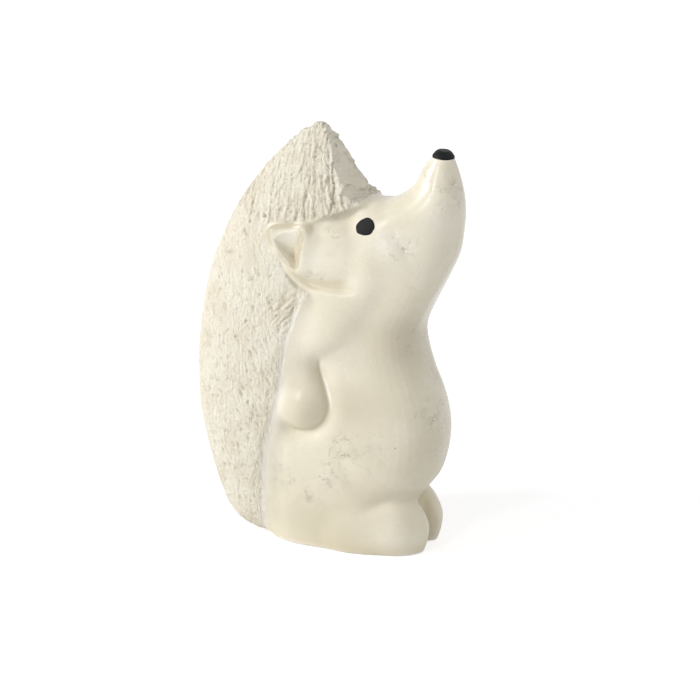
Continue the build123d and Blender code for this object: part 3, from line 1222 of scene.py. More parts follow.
@dataclass(frozen=True)
class Mantle:
    """The coat's outer form and the line where the polish stops.

    Each row of shares has the share of the block's height, of its depth at the front and the
    rear, and of the coat's half width. The line's points are shares of depth and height, seen
    from the side.
    """

    block: Block
    squareness: float = 2.4
    wedge: float = 0.2
    shares: Table = (
        (0.017, 0.480, 0.829, 0.560),
        (0.040, 0.467, 0.866, 0.680),
        (0.075, 0.454, 0.899, 0.760),
        (0.154, 0.429, 0.939, 0.855),
        (0.225, 0.404, 0.968, 0.920),
        (0.308, 0.378, 0.990, 0.975),
        (0.404, 0.353, 0.996, 1.000),
        (0.487, 0.328, 0.987, 0.985),
        (0.588, 0.290, 0.966, 0.922),
        (0.667, 0.265, 0.935, 0.850),
        (0.725, 0.252, 0.899, 0.790),
        (0.775, 0.252, 0.863, 0.722),
        (0.808, 0.258, 0.835, 0.665),
        (0.846, 0.281, 0.795, 0.570),
        (0.908, 0.340, 0.718, 0.400),
        (0.954, 0.396, 0.647, 0.250),
        (0.979, 0.429, 0.605, 0.155),
        (1.000, 0.473, 0.562, 0.055),
    )
    line_shares: Table = (
        (0.687, 0.000), (0.685, 0.100), (0.677, 0.167), (0.662, 0.242), (0.637, 0.300),
        (0.604, 0.375), (0.586, 0.450), (0.565, 0.520), (0.550, 0.556), (0.532, 0.588),
        (0.508, 0.618), (0.503, 0.627), (0.520, 0.631), (0.552, 0.638), (0.581, 0.657),
        (0.610, 0.687), (0.637, 0.722), (0.650, 0.764), (0.594, 0.779), (0.530, 0.790),
        (0.461, 0.803), (0.404, 0.816), (0.352, 0.831), (0.396, 0.848), (0.428, 0.879),
        (0.449, 0.910), (0.477, 0.954), (0.500, 0.979), (0.523, 1.005),
    )
    wedge_shares: Pair = (0.76, 0.84)
    peak_notch: Place = (7.1, 120.8, 2.7)
    peak_bumps: Table = (
        (0.3, 3.3, 118.7, 1.2), (-0.2, 2.4, 118.2, 1.2), (0.4, 6.9, 116.8, 1.1),
        (-0.8, 8.2, 115.6, 1.2), (-1.6, 2.2, 115.6, 1.5), (1.6, 1.8, 115.2, 1.4),
    )

    def rings(self) -> Array:
        """The sections, from the hem to the peak.

        Returns:
            Rings of points, in millimetres.
        """
        rings = []
        for z, front, rear, wide in faired(np.array(self.shares), 5):
            y0, y1 = self.block.y(front), self.block.y(rear)
            half = wide * (self.block.body_width / 2 + self.block.coat_step)
            middle = (0.0, (y0 + y1) / 2, self.block.z(z))
            squareness = self.squareness - self.wedge * float(ease(z, *self.wedge_shares))
            rings.append(oval(middle, half, ((y1 - y0) / 2, 0.0), squareness))
        return np.array(rings)

    def form(self, lattice: Lattice) -> Array:
        """Measures the coat, with the notch and the bumps at its peak.

        Args:
            lattice: The sample points.

        Returns:
            Distances, negative inside the coat.
        """
        x, y, z = lattice.axes()
        notch_y, notch_z, notch_radius = self.peak_notch
        notch = np.hypot(y - notch_y, z - notch_z) - notch_radius
        coat = trim(lattice.distance(self.rings()), -notch.astype(np.float32), 0.6)
        for bx, by, bz, radius in self.peak_bumps:
            bump = np.sqrt((x - bx) ** 2 + (y - by) ** 2 + (z - bz) ** 2) - radius
            coat = melt(coat, bump.astype(np.float32), 0.5)
        return coat

    def ahead(self, lattice: Lattice) -> Array:
        """Measures how far in front of the line the sample points are, and behind as negative.

        Args:
            lattice: The sample points.

        Returns:
            Distances from the line, in the figure's side view.
        """
        line = [(self.block.y(y), self.block.z(z)) for y, z in self.line_shares]
        far = self.block.depth
        above = line[-1][1] + far
        front = [(line[-1][0], above), (-far, above), (-far, -far), (line[0][0], -far)]
        outline = np.array(line + front)
        _, y, z = lattice.axes()
        y, z = (a[0].astype(float) for a in np.broadcast_arrays(y, z))
        nearest = np.full(y.shape, 1e9)
        inside = np.zeros(y.shape, bool)
        for (ya, za), (yb, zb) in zip(outline, np.roll(outline, -1, 0)):
            span = (yb - ya) ** 2 + (zb - za) ** 2
            t = np.clip(((y - ya) * (yb - ya) + (z - za) * (zb - za)) / span, 0.0, 1.0)
            gap = np.hypot(y - ya - t * (yb - ya), z - za - t * (zb - za))
            nearest = np.minimum(nearest, gap)
            if za != zb:
                crosses = (za > z) != (zb > z)
                inside ^= crosses & (y < ya + (z - za) / (zb - za) * (yb - ya))
        signed = np.where(inside, nearest, -nearest).astype(np.float32)
        return np.ascontiguousarray(np.broadcast_to(signed[None], lattice.shape()))


@dataclass
class Stone:
    """The whole carving, as distances on a lattice, before it is split between its two finishes.

    A moat is a hollow round a form, with its depth and reach. A bulge has its Y and Z, its reach
    along each, and its height. The jaw line has its height, how fast it rises behind, and the Y
    where it starts to.
    """

    voxel: float = 0.36
    low: Place = (-21.6, -43.2, -3.6)
    high: Place = (21.6, 43.2, 124.2)
    hand_moat: Pair = (1.3, 3.2)
    foot_moat: Pair = (0.7, 3.0)
    bulges: Table = ((-7.5, 65.0, 6.0, 7.0, 1.7), (-2.5, 60.5, 5.0, 4.5, 1.4))
    jaw_line: Place = (76.5, 0.04, -4.0)
    jaw_groove: float = 0.75
    palm_melt: float = 1.6
    blade_melt: float = 2.5
    jowl_melt: float = 2.0
    pit_edge: float = 0.14
    sole_edge: float = 0.8

    def __post_init__(self) -> None:
        """Measures every form and joins them."""
        block = Block()
        self.trunk, self.mantle = Trunk(block), Mantle(block)
        self.lattice = Lattice(self.voxel, self.low, self.high)
        cheeks = Cheeks(block)
        ear = Ear(block, cheeks)
        self.pits = self.both(ear.pit(self.lattice))
        self.flaps = self.both(self.lattice.distance(ear.rings()))
        figure = self.figure(block, cheeks)
        ahead = self.lattice.softened(self.mantle.ahead(self.lattice), 0.5)
        self.shell = self.cloaked(figure, ahead)
        _, _, z = self.lattice.axes()
        self.whole = trim(trim(self.shell, -self.pits, self.pit_edge), -z, self.sole_edge)
        self.sunk = self.lattice.softened(self.whole, 2.2) - self.whole
        self.ahead = self.polished(ahead)

    @staticmethod
    def both(form: Array) -> Array:
        """Joins a form with its mirror image."""
        return np.minimum(form, form[::-1])

    def jaw(self, y: Array) -> Array:
        """The height of the cheek's lower edge at each Y."""
        height, rise, start = self.jaw_line
        return height + rise * np.maximum(y - start, 0.0) ** 2

    def figure(self, block: Block, cheeks: Cheeks) -> Array:
        """Joins trunk, arms, head, feet and ear flaps, and keeps the forms that finishes need.

        Args:
            block: The block that places are shares of.
            cheeks: The head's broad part.

        Returns:
            Distances, negative inside the figure.
        """
        lattice = self.lattice
        _, y, z = lattice.axes()
        limb = Arm(block)
        arms = self.both(lattice.distance(limb.rings()))
        self.arms = melt(arms, limb.palm(lattice), self.palm_melt)
        blades = self.both(lattice.distance(limb.blade()))
        shoulders = melt(self.arms, blades, self.blade_melt)
        feet = self.both(lattice.distance(Foot(block).rings()))

        body = lattice.distance(self.trunk.rings())
        rear_of_hand = ease(y, 4.0, 10.5)
        depth, reach = self.hand_moat
        moat = depth * spot(np.maximum(self.arms, 0.0) / reach)
        body = body + moat * ease(z, 59.0, 51.0) * (1.0 - 0.9 * rear_of_hand)
        depth, reach = self.foot_moat
        moat = depth * spot(np.maximum(feet, 0.0) / reach)
        body = body + moat * ease(z, 9.0, 14.0) * ease(y, -10.0, -20.0)
        for at_y, at_z, reach_y, reach_z, height in self.bulges:
            body = body - height * spot((y - at_y) / reach_y, (z - at_z) / reach_z)
        self.body = body

        armpit = 0.3 + 2.7 * rear_of_hand * ease(z, 60.0, 54.0) + 5.2 * ease(z, 53.5, 63.0)
        self.below = melt(body, shoulders, armpit)
        jowls = lattice.distance(cheeks.jowls())
        self.head = melt(lattice.distance(cheeks.rings()), jowls, self.jowl_melt)
        body = melt(self.below, self.head, 0.8 + 4.8 * ease(y, -8.0, -17.0))
        over = z - self.jaw(y)
        groove = np.where(over > 0.0, np.exp(-np.maximum(over, 0.0) / 1.2), spot(over / 0.5))
        body = body + self.jaw_groove * groove * ease(y, -14.5, -7.0) * ease(y, 7.5, 4.5)
        body = melt(body, feet, 1.8 + 3.4 * ease(y, -22.0, -8.0))
        ear_root = np.maximum(ease(y, 7.0, 2.0), ease(z, 86.0, 81.0))
        return melt(body, self.flaps, 1.0 + 3.4 * ear_root)

    def cloaked(self, figure: Array, ahead: Array) -> Array:
        """Joins the coat to the figure, behind the line.

        Args:
            figure: The polished forms' distances.
            ahead: How far in front of the line each sample point is.

        Returns:
            Distances, negative inside the stone.
        """
        _, y, z = self.lattice.axes()
        flank = ease(z, 76.0, 66.0)
        brow = ease(z, 84.0, 90.0) * ease(y, 6.0, -4.0)
        shoulder = ease(z, 75.5, 72.5) * ease(z, 58.0, 66.0)
        coat = trim(self.mantle.form(self.lattice), ahead, 1.0 + 5.0 * flank)
        return melt(figure, coat, 0.9 + 4.4 * flank + 3.0 * brow + 1.6 * shoulder * (1 - flank))

    def polished(self, ahead: Array) -> Array:
        """Takes the line round the ears and hands, and makes it a little jagged.

        Args:
            ahead: How far in front of the line each sample point is.

        Returns:
            How far in front of where the polish stops each sample point is.
        """
        _, _, z = self.lattice.axes()
        polish = np.maximum(ahead, np.maximum(0.9 - self.flaps, 0.7 - self.arms))
        polish = polish - 2.5 * ease(z, 99.6, 101.6)
        jagged = (0.16 + 0.3 * ease(z, 72.0, 80.0)) * ease(self.flaps, 2.0, 4.0) + 0.1
        return polish + jagged * (self.lattice.ripple(1.2, 4) + 0.6 * self.lattice.ripple(3.0, 9))


# ---- pieces ----


class Skin:
    """What the stone is like at each point of its polished surface."""

    def __init__(self, stone: Stone, points: Array) -> None:
        """Reads the stone's forms at the points.

        Args:
            stone: The carving.
            points: The points, in millimetres, one in a row.
        """
        lattice = stone.lattice
        self.x, self.y, self.z = points.T
        _, self.rearward, self.upward = lattice.facing(stone.whole, points, 0.7).T
        self.curve = lattice.sample(stone.sunk, points)
        self.arm = lattice.sample(stone.arms, points)
        self.trunk = lattice.sample(stone.body, points)
        self.head = lattice.sample(stone.head, points)
        self.below = lattice.sample(stone.below, points)
        self.pit = lattice.sample(stone.pits, points)
        self.shell = lattice.sample(stone.shell, points)
        self.ahead = lattice.sample(stone.ahead, points)
        self.walls = ease(-self.shell, 0.10, 0.40)
        self.flap = ease(lattice.sample(stone.flaps, points), 2.4, 1.4)
        self.over_jaw = self.z - stone.jaw(self.y)
        self.behind_ear_front = self.y - 2.9 - 0.19 * (92.0 - self.z)
        # Painted highlight along the ear pit's rim, behind its front edge.
        rim = spot(self.pit / 0.24, self.shell / 0.24)
        self.rim = rim * ease(self.behind_ear_front, 0.8, 2.0)


@dataclass
class PolishedBody:
    """Head, belly, arms, feet and ears: everything that is polished.

    A vein's row has its side, Y, Z, reach and strength. A row of the patches has its Y, Z, reach
    and strength, which is above zero for painted shade and below it for painted light.
    """

    stone: Stone
    finish: PolishedStone
    tuck: float = 1.6
    veins: tuple[tuple[Side, float, float, float, float], ...] = (
        (Side.RIGHT, -35.6, 104.4, 4.4, 0.9), (Side.RIGHT, -31.0, 108.3, 3.6, 0.6),
        (Side.RIGHT, -24.1, 90.6, 4.4, 0.9), (Side.RIGHT, -4.9, 93.8, 4.0, 0.7),
        (Side.RIGHT, -0.5, 80.5, 2.6, 1.0), (Side.RIGHT, -10.1, 30.8, 4.6, 1.0),
        (Side.RIGHT, -7.2, 23.0, 4.6, 1.0), (Side.RIGHT, -17.0, 31.0, 5.0, 0.8),
        (Side.RIGHT, -34.5, 42.0, 4.5, 0.9), (Side.RIGHT, -25.7, 62.5, 4.0, 0.7),
        (Side.RIGHT, 0.8, 15.5, 3.6, 0.9), (Side.RIGHT, 8.0, 20.0, 5.0, 0.5),
        (Side.LEFT, -33.0, 100.0, 6.0, 0.7), (Side.LEFT, -12.0, 84.0, 6.0, 0.8),
        (Side.LEFT, -24.0, 48.0, 8.0, 0.9), (Side.LEFT, -5.0, 24.0, 7.0, 0.8),
    )
    veins_elsewhere: float = 0.09
    light_and_shade_patches: Table = (
        (-8.0, 94.5, 7.0, 0.22), (-20.0, 91.5, 5.5, -0.50), (-17.0, 14.0, 8.0, 0.42),
        (-25.0, 4.0, 5.0, -0.35), (-25.0, 62.0, 9.0, 0.68), (-30.0, 26.0, 12.0, 0.25),
        (1.0, 84.0, 3.2, -0.45), (-11.0, 92.0, 5.0, 0.25), (-10.0, 43.0, 8.5, 0.62),
        (-33.0, 98.0, 8.0, -0.40), (-22.0, 44.0, 9.0, 0.22), (-4.0, 12.0, 10.0, 0.35),
        (-7.0, 3.5, 8.0, 0.45), (6.0, 7.0, 7.0, 0.35), (-25.0, 99.5, 6.0, 0.35),
        (-17.0, 97.0, 4.0, 0.35), (-38.0, 34.0, 7.0, 0.30),
    )

    def hollow(self, skin: Skin) -> Array:
        """How much painted shade lies in the stone's folds, creases and cleft, on the hand's sides
        turned from the lamps, and near the floor.

        Args:
            skin: The polished surface.

        Returns:
            Numbers from 0 to 1, one for each point.
        """
        x, y, z = skin.x, skin.y, skin.z
        # Painted shade near the floor, stronger at the front.
        low = ease(z, 6.0, 0.4) * (0.34 + 0.2 * ease(y, 0.0, -20.0))
        # Painted shade in concave creases, less on the pit walls and high up.
        crease_shade = ease(-skin.curve, 0.22, 1.0) * (1 - skin.walls) * (1 - 0.8 * ease(z, 89.0, 93.0))
        # Painted shade in the cleft between the feet.
        cleft = np.maximum(ease(np.abs(x), 2.0, 0.9), ease(x, 6.0, 2.0) * (x > 0))
        cleft = cleft * ease(z, 24.0, 16.0) * ease(y, -12.0, -20.0)
        # Painted shade on the hand's sides turned away from the lamps.
        turned = np.maximum(ease(-skin.rearward, 0.50, 1.0), 0.8 * ease(-skin.upward, 0.45, 0.95))
        hand = ease(skin.arm, 0.6, 0.1) * ease(z, 57.0, 48.0) * (0.26 + 0.45 * turned)
        # Painted shade: dark lines in the creases where the arm meets the trunk and the cheek meets
        # the body.
        arm_line = spot(skin.arm / 0.42, skin.trunk / 0.42) * ease(z, 58.0, 55.0)
        jaw_line = spot(skin.head / 0.6, skin.below / 0.6)
        jaw_line = jaw_line * ease(z, 81.0, 78.0) * ease(y, -14.0, -8.0)
        # Painted shade under the cheek's lower edge.
        shade_below_cheek = spot((skin.over_jaw - 0.7) / 1.1) * ease(y, -14.0, -9.0) * ease(y, 8.0, 5.0)
        folds = [crease_shade + low, hand, 0.75 * cleft, arm_line, 0.8 * jaw_line, 0.5 * shade_below_cheek]
        return np.clip(np.maximum.reduce(folds), 0.0, 1.0)

    def worn(self, skin: Skin) -> Array:
        """How pale the stone is painted at its edges: partly wear, partly painted highlight, with
        painted highlights along the ear's pit rim and beside the hand.

        Args:
            skin: The polished surface.

        Returns:
            Numbers from 0 to 1, one for each point.
        """
        y, z = skin.y, skin.z
        # Convex edges paler: partly wear, partly painted highlight on the ridges.
        edges = 0.7 * ease(skin.curve, 0.25, 0.7) * (1 - skin.flap)
        # Painted highlight: a bright line in the hollow's far wall beside the hand.
        highlight_beside_hand = spot((skin.arm - 1.0) / 0.45, skin.trunk / 0.5)
        highlight_beside_hand *= ease(y, 3.0, -2.0) * ease(z, 40.0, 46.0) * ease(z, 58.0, 54.0)
        # The pit's rim gets its painted highlight here too.
        return np.maximum.reduce([edges, 0.8 * skin.rim, highlight_beside_hand])

    def tone(self, skin: Skin) -> Array:
        """How much painted shade darkens the stone, with painted light paling it below zero.

        Args:
            skin: The polished surface.

        Returns:
            Numbers from -1 to 1, one for each point.
        """
        y, z, plain = skin.y, skin.z, 1 - skin.walls
        # Painted shade on the pit's rear wall, which faces forward, away from the lamps.
        shaded_pit_wall = ease(skin.rearward, 0.05, 0.3) * ease(skin.behind_ear_front, 2.2, 1.0)
        tone = 0.95 * spot(skin.pit / 0.4) * shaded_pit_wall
        # Painted shade on the flap's faces turned up and rearwards, towards the lamps.
        away = ease(np.maximum(skin.rearward, skin.upward), 0.05, 0.4)
        tone += 0.95 * skin.flap * plain * (1 - skin.rim) * away
        # Painted light on the pit's forward-facing walls, against their shade.
        tone -= 0.5 * skin.walls * ease(skin.rearward, 0.1, -0.1)
        # Patches of painted shade above zero and painted light below zero.
        for at_y, at_z, reach, strength in self.light_and_shade_patches:
            tone += strength * spot((y - at_y) / reach, (z - at_z) / reach)
        # Painted light beside the coat's line, from the feet up to the hand.
        tone -= 0.4 * ease(skin.ahead, 2.5, 0.5) * ease(z, 10.0, 16.0) * ease(z, 54.0, 46.0)
        return np.clip(tone, -1.0, 1.0)

    def dull(self, skin: Skin) -> Array:
        """Where the polish is weaker: low down and on the brow."""
        brow = spot((skin.y + 6.0) / 8.0, (skin.z - 90.0) / 5.0)
        return np.maximum(ease(skin.z, 32.0, 22.0), brow)

    def veined(self, skin: Skin) -> Array:
        """How strong the veins are.

        Args:
            skin: The polished surface.

        Returns:
            Numbers from 0 to 1, one for each point.
        """
        veined = np.full(len(skin.x), self.veins_elsewhere)
        for side, at_y, at_z, reach, strength in self.veins:
            near = spot((skin.y - at_y) / reach, (skin.z - at_z) / reach)
            veined = np.maximum(veined, strength * near * (skin.x * side.value > 0))
        return veined

    def build(self) -> bpy.types.Object:
        """Cuts the polished part out of the stone, makes its mesh and notes its shades on it.

        Returns:
            The piece, at the origin.
        """
        stone, lattice = self.stone, self.stone.lattice
        under = self.tuck * 0.8 * ease(stone.ahead, 0.0, -self.tuck)
        form = trim(stone.whole + under, -stone.ahead - self.tuck, 0.4)
        points, quads = lattice.skin(form)
        made = thinned(piece_from("polished_stone", points, quads.tolist()))
        points = places(made)
        points = points - lattice.sample(form, points)[:, None] * lattice.facing(form, points)
        made.data.vertices.foreach_set("co", (points * MM).astype(np.float32).ravel())
        outer = np.abs(lattice.sample(stone.whole, points)) < 0.25
        outward, inward = lattice.facing(stone.whole, points), lattice.facing(form, points)
        facing = np.where(outer[:, None], outward, inward)
        made.data.normals_split_custom_set_from_vertices(facing.tolist())
        skin = Skin(stone, points)
        for measure in (self.hollow, self.worn, self.tone, self.dull, self.veined):
            note(made, measure.__name__, measure(skin))
        return made

    def dress(self) -> bpy.types.Object:
        """Builds the piece and gives it its finish."""
        return seat(self.build(), "polished_body", self.finish.material())


@dataclass
class SpineCoat:
    """The rough coat over the back, with the chisel's marks in it."""

    stone: Stone
    finish: ChiselledStone
    lift: float = 0.02
    flake_width: float = 1.4
    flake_length: float = 6.0
    flake_depth: float = 0.62
    peck_size: float = 0.95
    peck_depth: float = 0.25
    gouge_depth: float = 0.42
    groove_depth: float = 0.5
    uneven_depth: float = 0.72
    gouge_cell: Place = (1.5, 1.25, 3.0)
    gouge_slant: float = 38.0
    groove_cell: Place = (1.5, 1.4, 6.0)
    groove_slant: float = -42.0
    seed: int = 3

    def sizes(self) -> dict[str, float]:
        """The inputs of the chisel's tree, by name.

        Returns:
            Each input's name and its number.
        """
        return {
            "Flake Width": self.flake_width,
            "Flake Length": self.flake_length,
            "Flake Depth": self.flake_depth,
            "Peck Size": self.peck_size,
            "Peck Depth": self.peck_depth,
            "Gouge Depth": self.gouge_depth,
            "Groove Depth": self.groove_depth,
            "Seed": float(self.seed),
        }

    def build(self) -> bpy.types.Object:
        """Cuts the coat out of the stone and notes where each kind of mark goes.

        Returns:
            The piece, at the origin.
        """
        stone, lattice = self.stone, self.stone.lattice
        sinking = 0.5 * ease(stone.ahead, 0.0, 0.8)
        form = trim(stone.whole - self.lift + sinking, stone.ahead - 0.7, 0.2)
        points, quads = lattice.skin(form)
        made = piece_from("chiselled_coat", points, quads.tolist())
        x, y, z = points.T.astype(float)
        behind = -lattice.sample(stone.ahead, points)
        outside = ease(lattice.sample(stone.whole, points), -0.8, -0.2)
        hood = ease(z, 90.0, 97.0)
        low = ease(z, 78.0, 68.0)
        rough = ease(behind, -0.1, 2.0) * low + ease(behind, -0.4, 0.2) * (1 - low)
        front = ease(-lattice.facing(stone.whole, points, 0.8)[:, 1], 0.25, 0.7)
        forward = ease(y - (99.5 - z) * 0.55, 16.0, -2.0)
        calm = 0.7 + 0.3 * ease(behind, 0.3, 3.0)
        armpit = spot((y - 6.0) / 6.0, (z - 70.0) / 5.5)
        flank = (1 - hood) * spot((behind - 5.0) / 3.0)
        brow = ease(z, 100.0, 95.0) * ease(z, 88.0, 91.0)
        lean = 0.5 * ease(y, 9.0, -6.0)
        for name, values in {
            "fade": ease(behind, 2.2, 0.2) * low,
            "combed": hood,
            # Where painted light goes: the hood's front face, turned from the lamps.
            "lit_hood_front": hood * front,
            "rough": outside * np.maximum(rough, ease(z, 98.5, 100.5)),
            "flake": 0.10 + hood * calm * (0.36 + 0.38 * forward),
            "groove": np.clip(1.3 * armpit, 0.0, 1.0),
            "pit": np.clip(flank + brow, 0.0, 1.0) * (1 - armpit),
            "stroke": np.stack([0.4 * x, y - lean * (z - 97.0), z], 1),
        }.items():
            note(made, name, values)
        return made

    def flakes(self, bench: Bench, given: Sockets, shift: Socket, sway: Socket) -> Socket:
        """Long flakes that lie like shingles, raised by their depth.

        Args:
            bench: The bench of the tree.
            given: The tree's own inputs.
            shift: How far the seed moves the pattern.
            sway: A vector that wanders about zero.

        Returns:
            How far the flakes stand out, in millimetres.
        """
        size = bench.xyz(given["Flake Width"], given["Flake Width"], given["Flake Length"])
        stroke = bench.adrift(bench.on_mesh("stroke", "FLOAT_VECTOR"), sway, 1.7)
        stroke = bench.vector("DIVIDE", bench.vector("ADD", stroke, shift), size)
        flake = bench.cells(stroke, 1.0)
        inner = bench.vector("SUBTRACT", stroke, flake.outputs["Position"])
        inner = bench.node("ShaderNodeSeparateXYZ", {0: inner}).outputs
        chance = bench.chances(flake)
        edge = bench.cells(stroke, 1.0, "DISTANCE_TO_EDGE").outputs["Distance"]
        lip = bench.times(inner[2], -0.7)
        tilt = bench.times(bench.minus(-0.3, chance[0]), inner[1], 1.3)
        level = bench.times(bench.minus(chance[1], 0.5), 0.55)
        crease = bench.times(bench.ramp(edge, 0.12, 0.0), -0.3)
        flakes = bench.plus(bench.plus(lip, tilt), bench.plus(level, crease))
        return bench.times(flakes, given["Flake Depth"], bench.on_mesh("flake"))

    def gouges(self, bench: Bench, given: Sockets, place: Socket, sway: Socket) -> Socket:
        """Short slanting cuts, struck here and there.

        Args:
            bench: The bench of the tree.
            given: The tree's own inputs.
            place: The place in millimetres, moved by the seed.
            sway: A vector that wanders about zero.

        Returns:
            How deep the gouges are, in millimetres.
        """
        at = bench.adrift(bench.leaning(place, self.gouge_slant), sway, 1.6)
        gouge = bench.cells(bench.vector("DIVIDE", at, self.gouge_cell), 1.0)
        struck = bench.ramp(bench.chances(gouge)[0], 0.35, 0.8)
        gouges = bench.times(bench.ramp(gouge.outputs["Distance"], 0.6, 0.12), struck)
        return bench.times(gouges, bench.on_mesh("pit"), given["Gouge Depth"])

    def pecks(self, bench: Bench, given: Sockets, place: Socket, sway: Socket) -> Socket:
        """Small round dents from the chisel's point.

        Args:
            bench: The bench of the tree.
            given: The tree's own inputs.
            place: The place in millimetres, moved by the seed.
            sway: A vector that wanders about zero.

        Returns:
            How deep the pecks are, in millimetres.
        """
        size = given["Peck Size"]
        at = bench.vector("DIVIDE", bench.adrift(place, sway, 1.2), bench.xyz(size, size, size))
        peck = bench.cells(at, 1.0)
        odds = bench.chances(peck)
        dent = bench.ramp(peck.outputs["Distance"], 0.85, 0.1)
        deep = bench.ramp(odds[0], 0.25, 1.0, 0.3, 1.0)
        struck = bench.times(bench.on_mesh("pit"), bench.ramp(odds[1], 0.45, 1.0, 0.0, 1.3))
        depth = bench.times(bench.plus(0.8, struck), given["Peck Depth"])
        return bench.times(bench.times(dent, deep), depth)

    def furrows(self, bench: Bench, given: Sockets, place: Socket, sway: Socket) -> Socket:
        """Long slanting furrows under the cheek.

        Args:
            bench: The bench of the tree.
            given: The tree's own inputs.
            place: The place in millimetres, moved by the seed.
            sway: A vector that wanders about zero.

        Returns:
            How deep the furrows are, in millimetres.
        """
        at = bench.adrift(bench.leaning(place, self.groove_slant), sway, 1.6)
        furrow = bench.cells(bench.vector("DIVIDE", at, self.groove_cell), 1.0, "DISTANCE_TO_EDGE")
        furrow = bench.ramp(furrow.outputs["Distance"], 0.28, 0.0)
        return bench.times(furrow, given["Groove Depth"], bench.on_mesh("groove"))

    def marks(self, material: bpy.types.Material) -> bpy.types.NodeTree:
        """Builds the tree that sinks the chisel's marks into a surface.

        Args:
            material: What the finished surface is made of.

        Returns:
            The node tree, with its sizes as named inputs.
        """
        tree = bpy.data.node_groups.new("chisel marks", "GeometryNodeTree")
        tree.is_modifier = True
        face = tree.interface
        face.new_socket("Geometry", in_out="INPUT", socket_type="NodeSocketGeometry")
        for name in self.sizes():
            face.new_socket(name, in_out="INPUT", socket_type="NodeSocketFloat")
        face.new_socket("Geometry", in_out="OUTPUT", socket_type="NodeSocketGeometry")
        bench = Bench(tree)
        given = bench.node("NodeGroupInput").outputs

        place = bench.node("GeometryNodeInputPosition").outputs[0]
        shift = bench.vector("SCALE", (11.3, 7.7, 5.1), given["Seed"])
        place = bench.vector("ADD", bench.vector("SCALE", place, 1 / MM), shift)
        sway = bench.sway(place, 0.35)
        raised = bench.minus(
            self.flakes(bench, given, shift, sway), self.pecks(bench, given, place, sway)
        )
        cut = bench.plus(
            self.furrows(bench, given, place, sway), self.gouges(bench, given, place, sway)
        )
        uneven = bench.minus(bench.noise(place, 0.45, 5.0, 0.75), 0.5)
        uneven = bench.times(uneven, self.uneven_depth)
        relief = bench.plus(bench.minus(raised, cut), uneven)
        relief = bench.times(relief, bench.on_mesh("rough"))

        facing = bench.node("GeometryNodeInputNormal").outputs[0]
        offset = bench.vector("SCALE", facing, bench.times(relief, MM))
        made = given["Geometry"]
        for kind, inputs in (
            ("GeometryNodeStoreNamedAttribute", {"Name": "relief", "Value": relief}),
            ("GeometryNodeSetPosition", {"Offset": offset}),
            ("GeometryNodeRealizeInstances", {}),
            ("GeometryNodeSetMaterial", {"Material": material}),
        ):
            made = bench.node(kind, {"Geometry": made} | inputs).outputs[0]
        bench.node("NodeGroupOutput", {"Geometry": made})
        return tree

    def dress(self) -> bpy.types.Object:
        """Builds the piece, runs the marks over it and gives it its finish.

        Returns:
            The finished piece.
        """
        made = self.build()
        carve = made.modifiers.new("carve", "NODES")
        carve.node_group = self.marks(self.finish.material())
        sizes = self.sizes()
        for item in carve.node_group.interface.items_tree:
            if item.in_out == "INPUT" and item.name in sizes:
                carve[item.identifier] = sizes[item.name]
        settle(made, carve)
        for name in ("rough", "flake", "groove", "pit", "stroke"):
            made.data.attributes.remove(made.data.attributes[name])
        return seat(thinned(made), "spine_coat")


@dataclass
class Eye:
    """A dot of enamel on the side of the head, with the brush's uneven edge."""

    stone: Stone
    side: Side
    diameter: float = 5.3
    thickness: float = 0.16
    depth: float = 0.7
    step: float = 0.12
    stretch: Pair = (1.06, 0.95)
    place_shares: Pair = (0.315, 0.788)
    waves: Table = ((2, 0.04, -1.5), (3, 0.03, 2.2), (5, 0.016, -1.0), (8, 0.012, 0.0))

    def seat_on(self, block: Block) -> Array:
        """Finds the middle of the eye, on the stone's surface.

        Args:
            block: The block that places are shares of.

        Returns:
            A point in millimetres.
        """
        y, z = block.y(self.place_shares[0]), block.z(self.place_shares[1])
        xs = np.linspace(4.0, 18.0, 1400)
        along = np.stack([self.side.value * xs, np.full(xs.size, y), np.full(xs.size, z)], 1)
        outer = xs[np.argmin(np.abs(self.stone.lattice.sample(self.stone.whole, along)))]
        return np.array([self.side.value * outer, y, z])

    def build(self) -> bpy.types.Object:
        """Lays the enamel over the stone's own curve.

        Returns:
            The piece, at the origin.
        """
        lattice = self.stone.lattice
        centre = self.seat_on(Block())
        normal = lattice.facing(self.stone.whole, centre[None], 0.8)[0]
        fore = np.array([0.0, -1.0, 0.0])
        fore -= (fore @ normal) * normal
        fore /= np.linalg.norm(fore)
        up = np.cross(fore, normal)
        if up[2] < 0:
            up = -up
        reach = self.diameter * 0.75
        low = np.floor((centre - reach) / self.step) * self.step
        high = np.ceil((centre + reach) / self.step) * self.step
        fine = Lattice(self.step, tuple(low), tuple(high), 1.0)
        points = fine.points()
        near = lattice.sample(self.stone.whole, points).reshape(fine.shape())
        away = points - centre
        a, b = away @ fore / self.stretch[0], away @ up / self.stretch[1]
        turn = np.arctan2(b, a)
        wave = sum(height * np.cos(count * turn + start) for count, height, start in self.waves)
        rim = (np.hypot(a, b) - self.diameter / 2 * (1.0 + wave)).reshape(fine.shape())
        form = trim(trim(near - self.thickness, rim, 0.3), -near - self.depth, 0.1)
        made_points, quads = fine.skin(form)
        return piece_from(f"enamel_eye_{self.side.name.lower()}", made_points, quads.tolist())

    def dress(self, material: bpy.types.Material) -> bpy.types.Object:
        """Builds the eye and gives it its finish."""
        return seat(self.build(), f"eye_{self.side.name.lower()}", material)


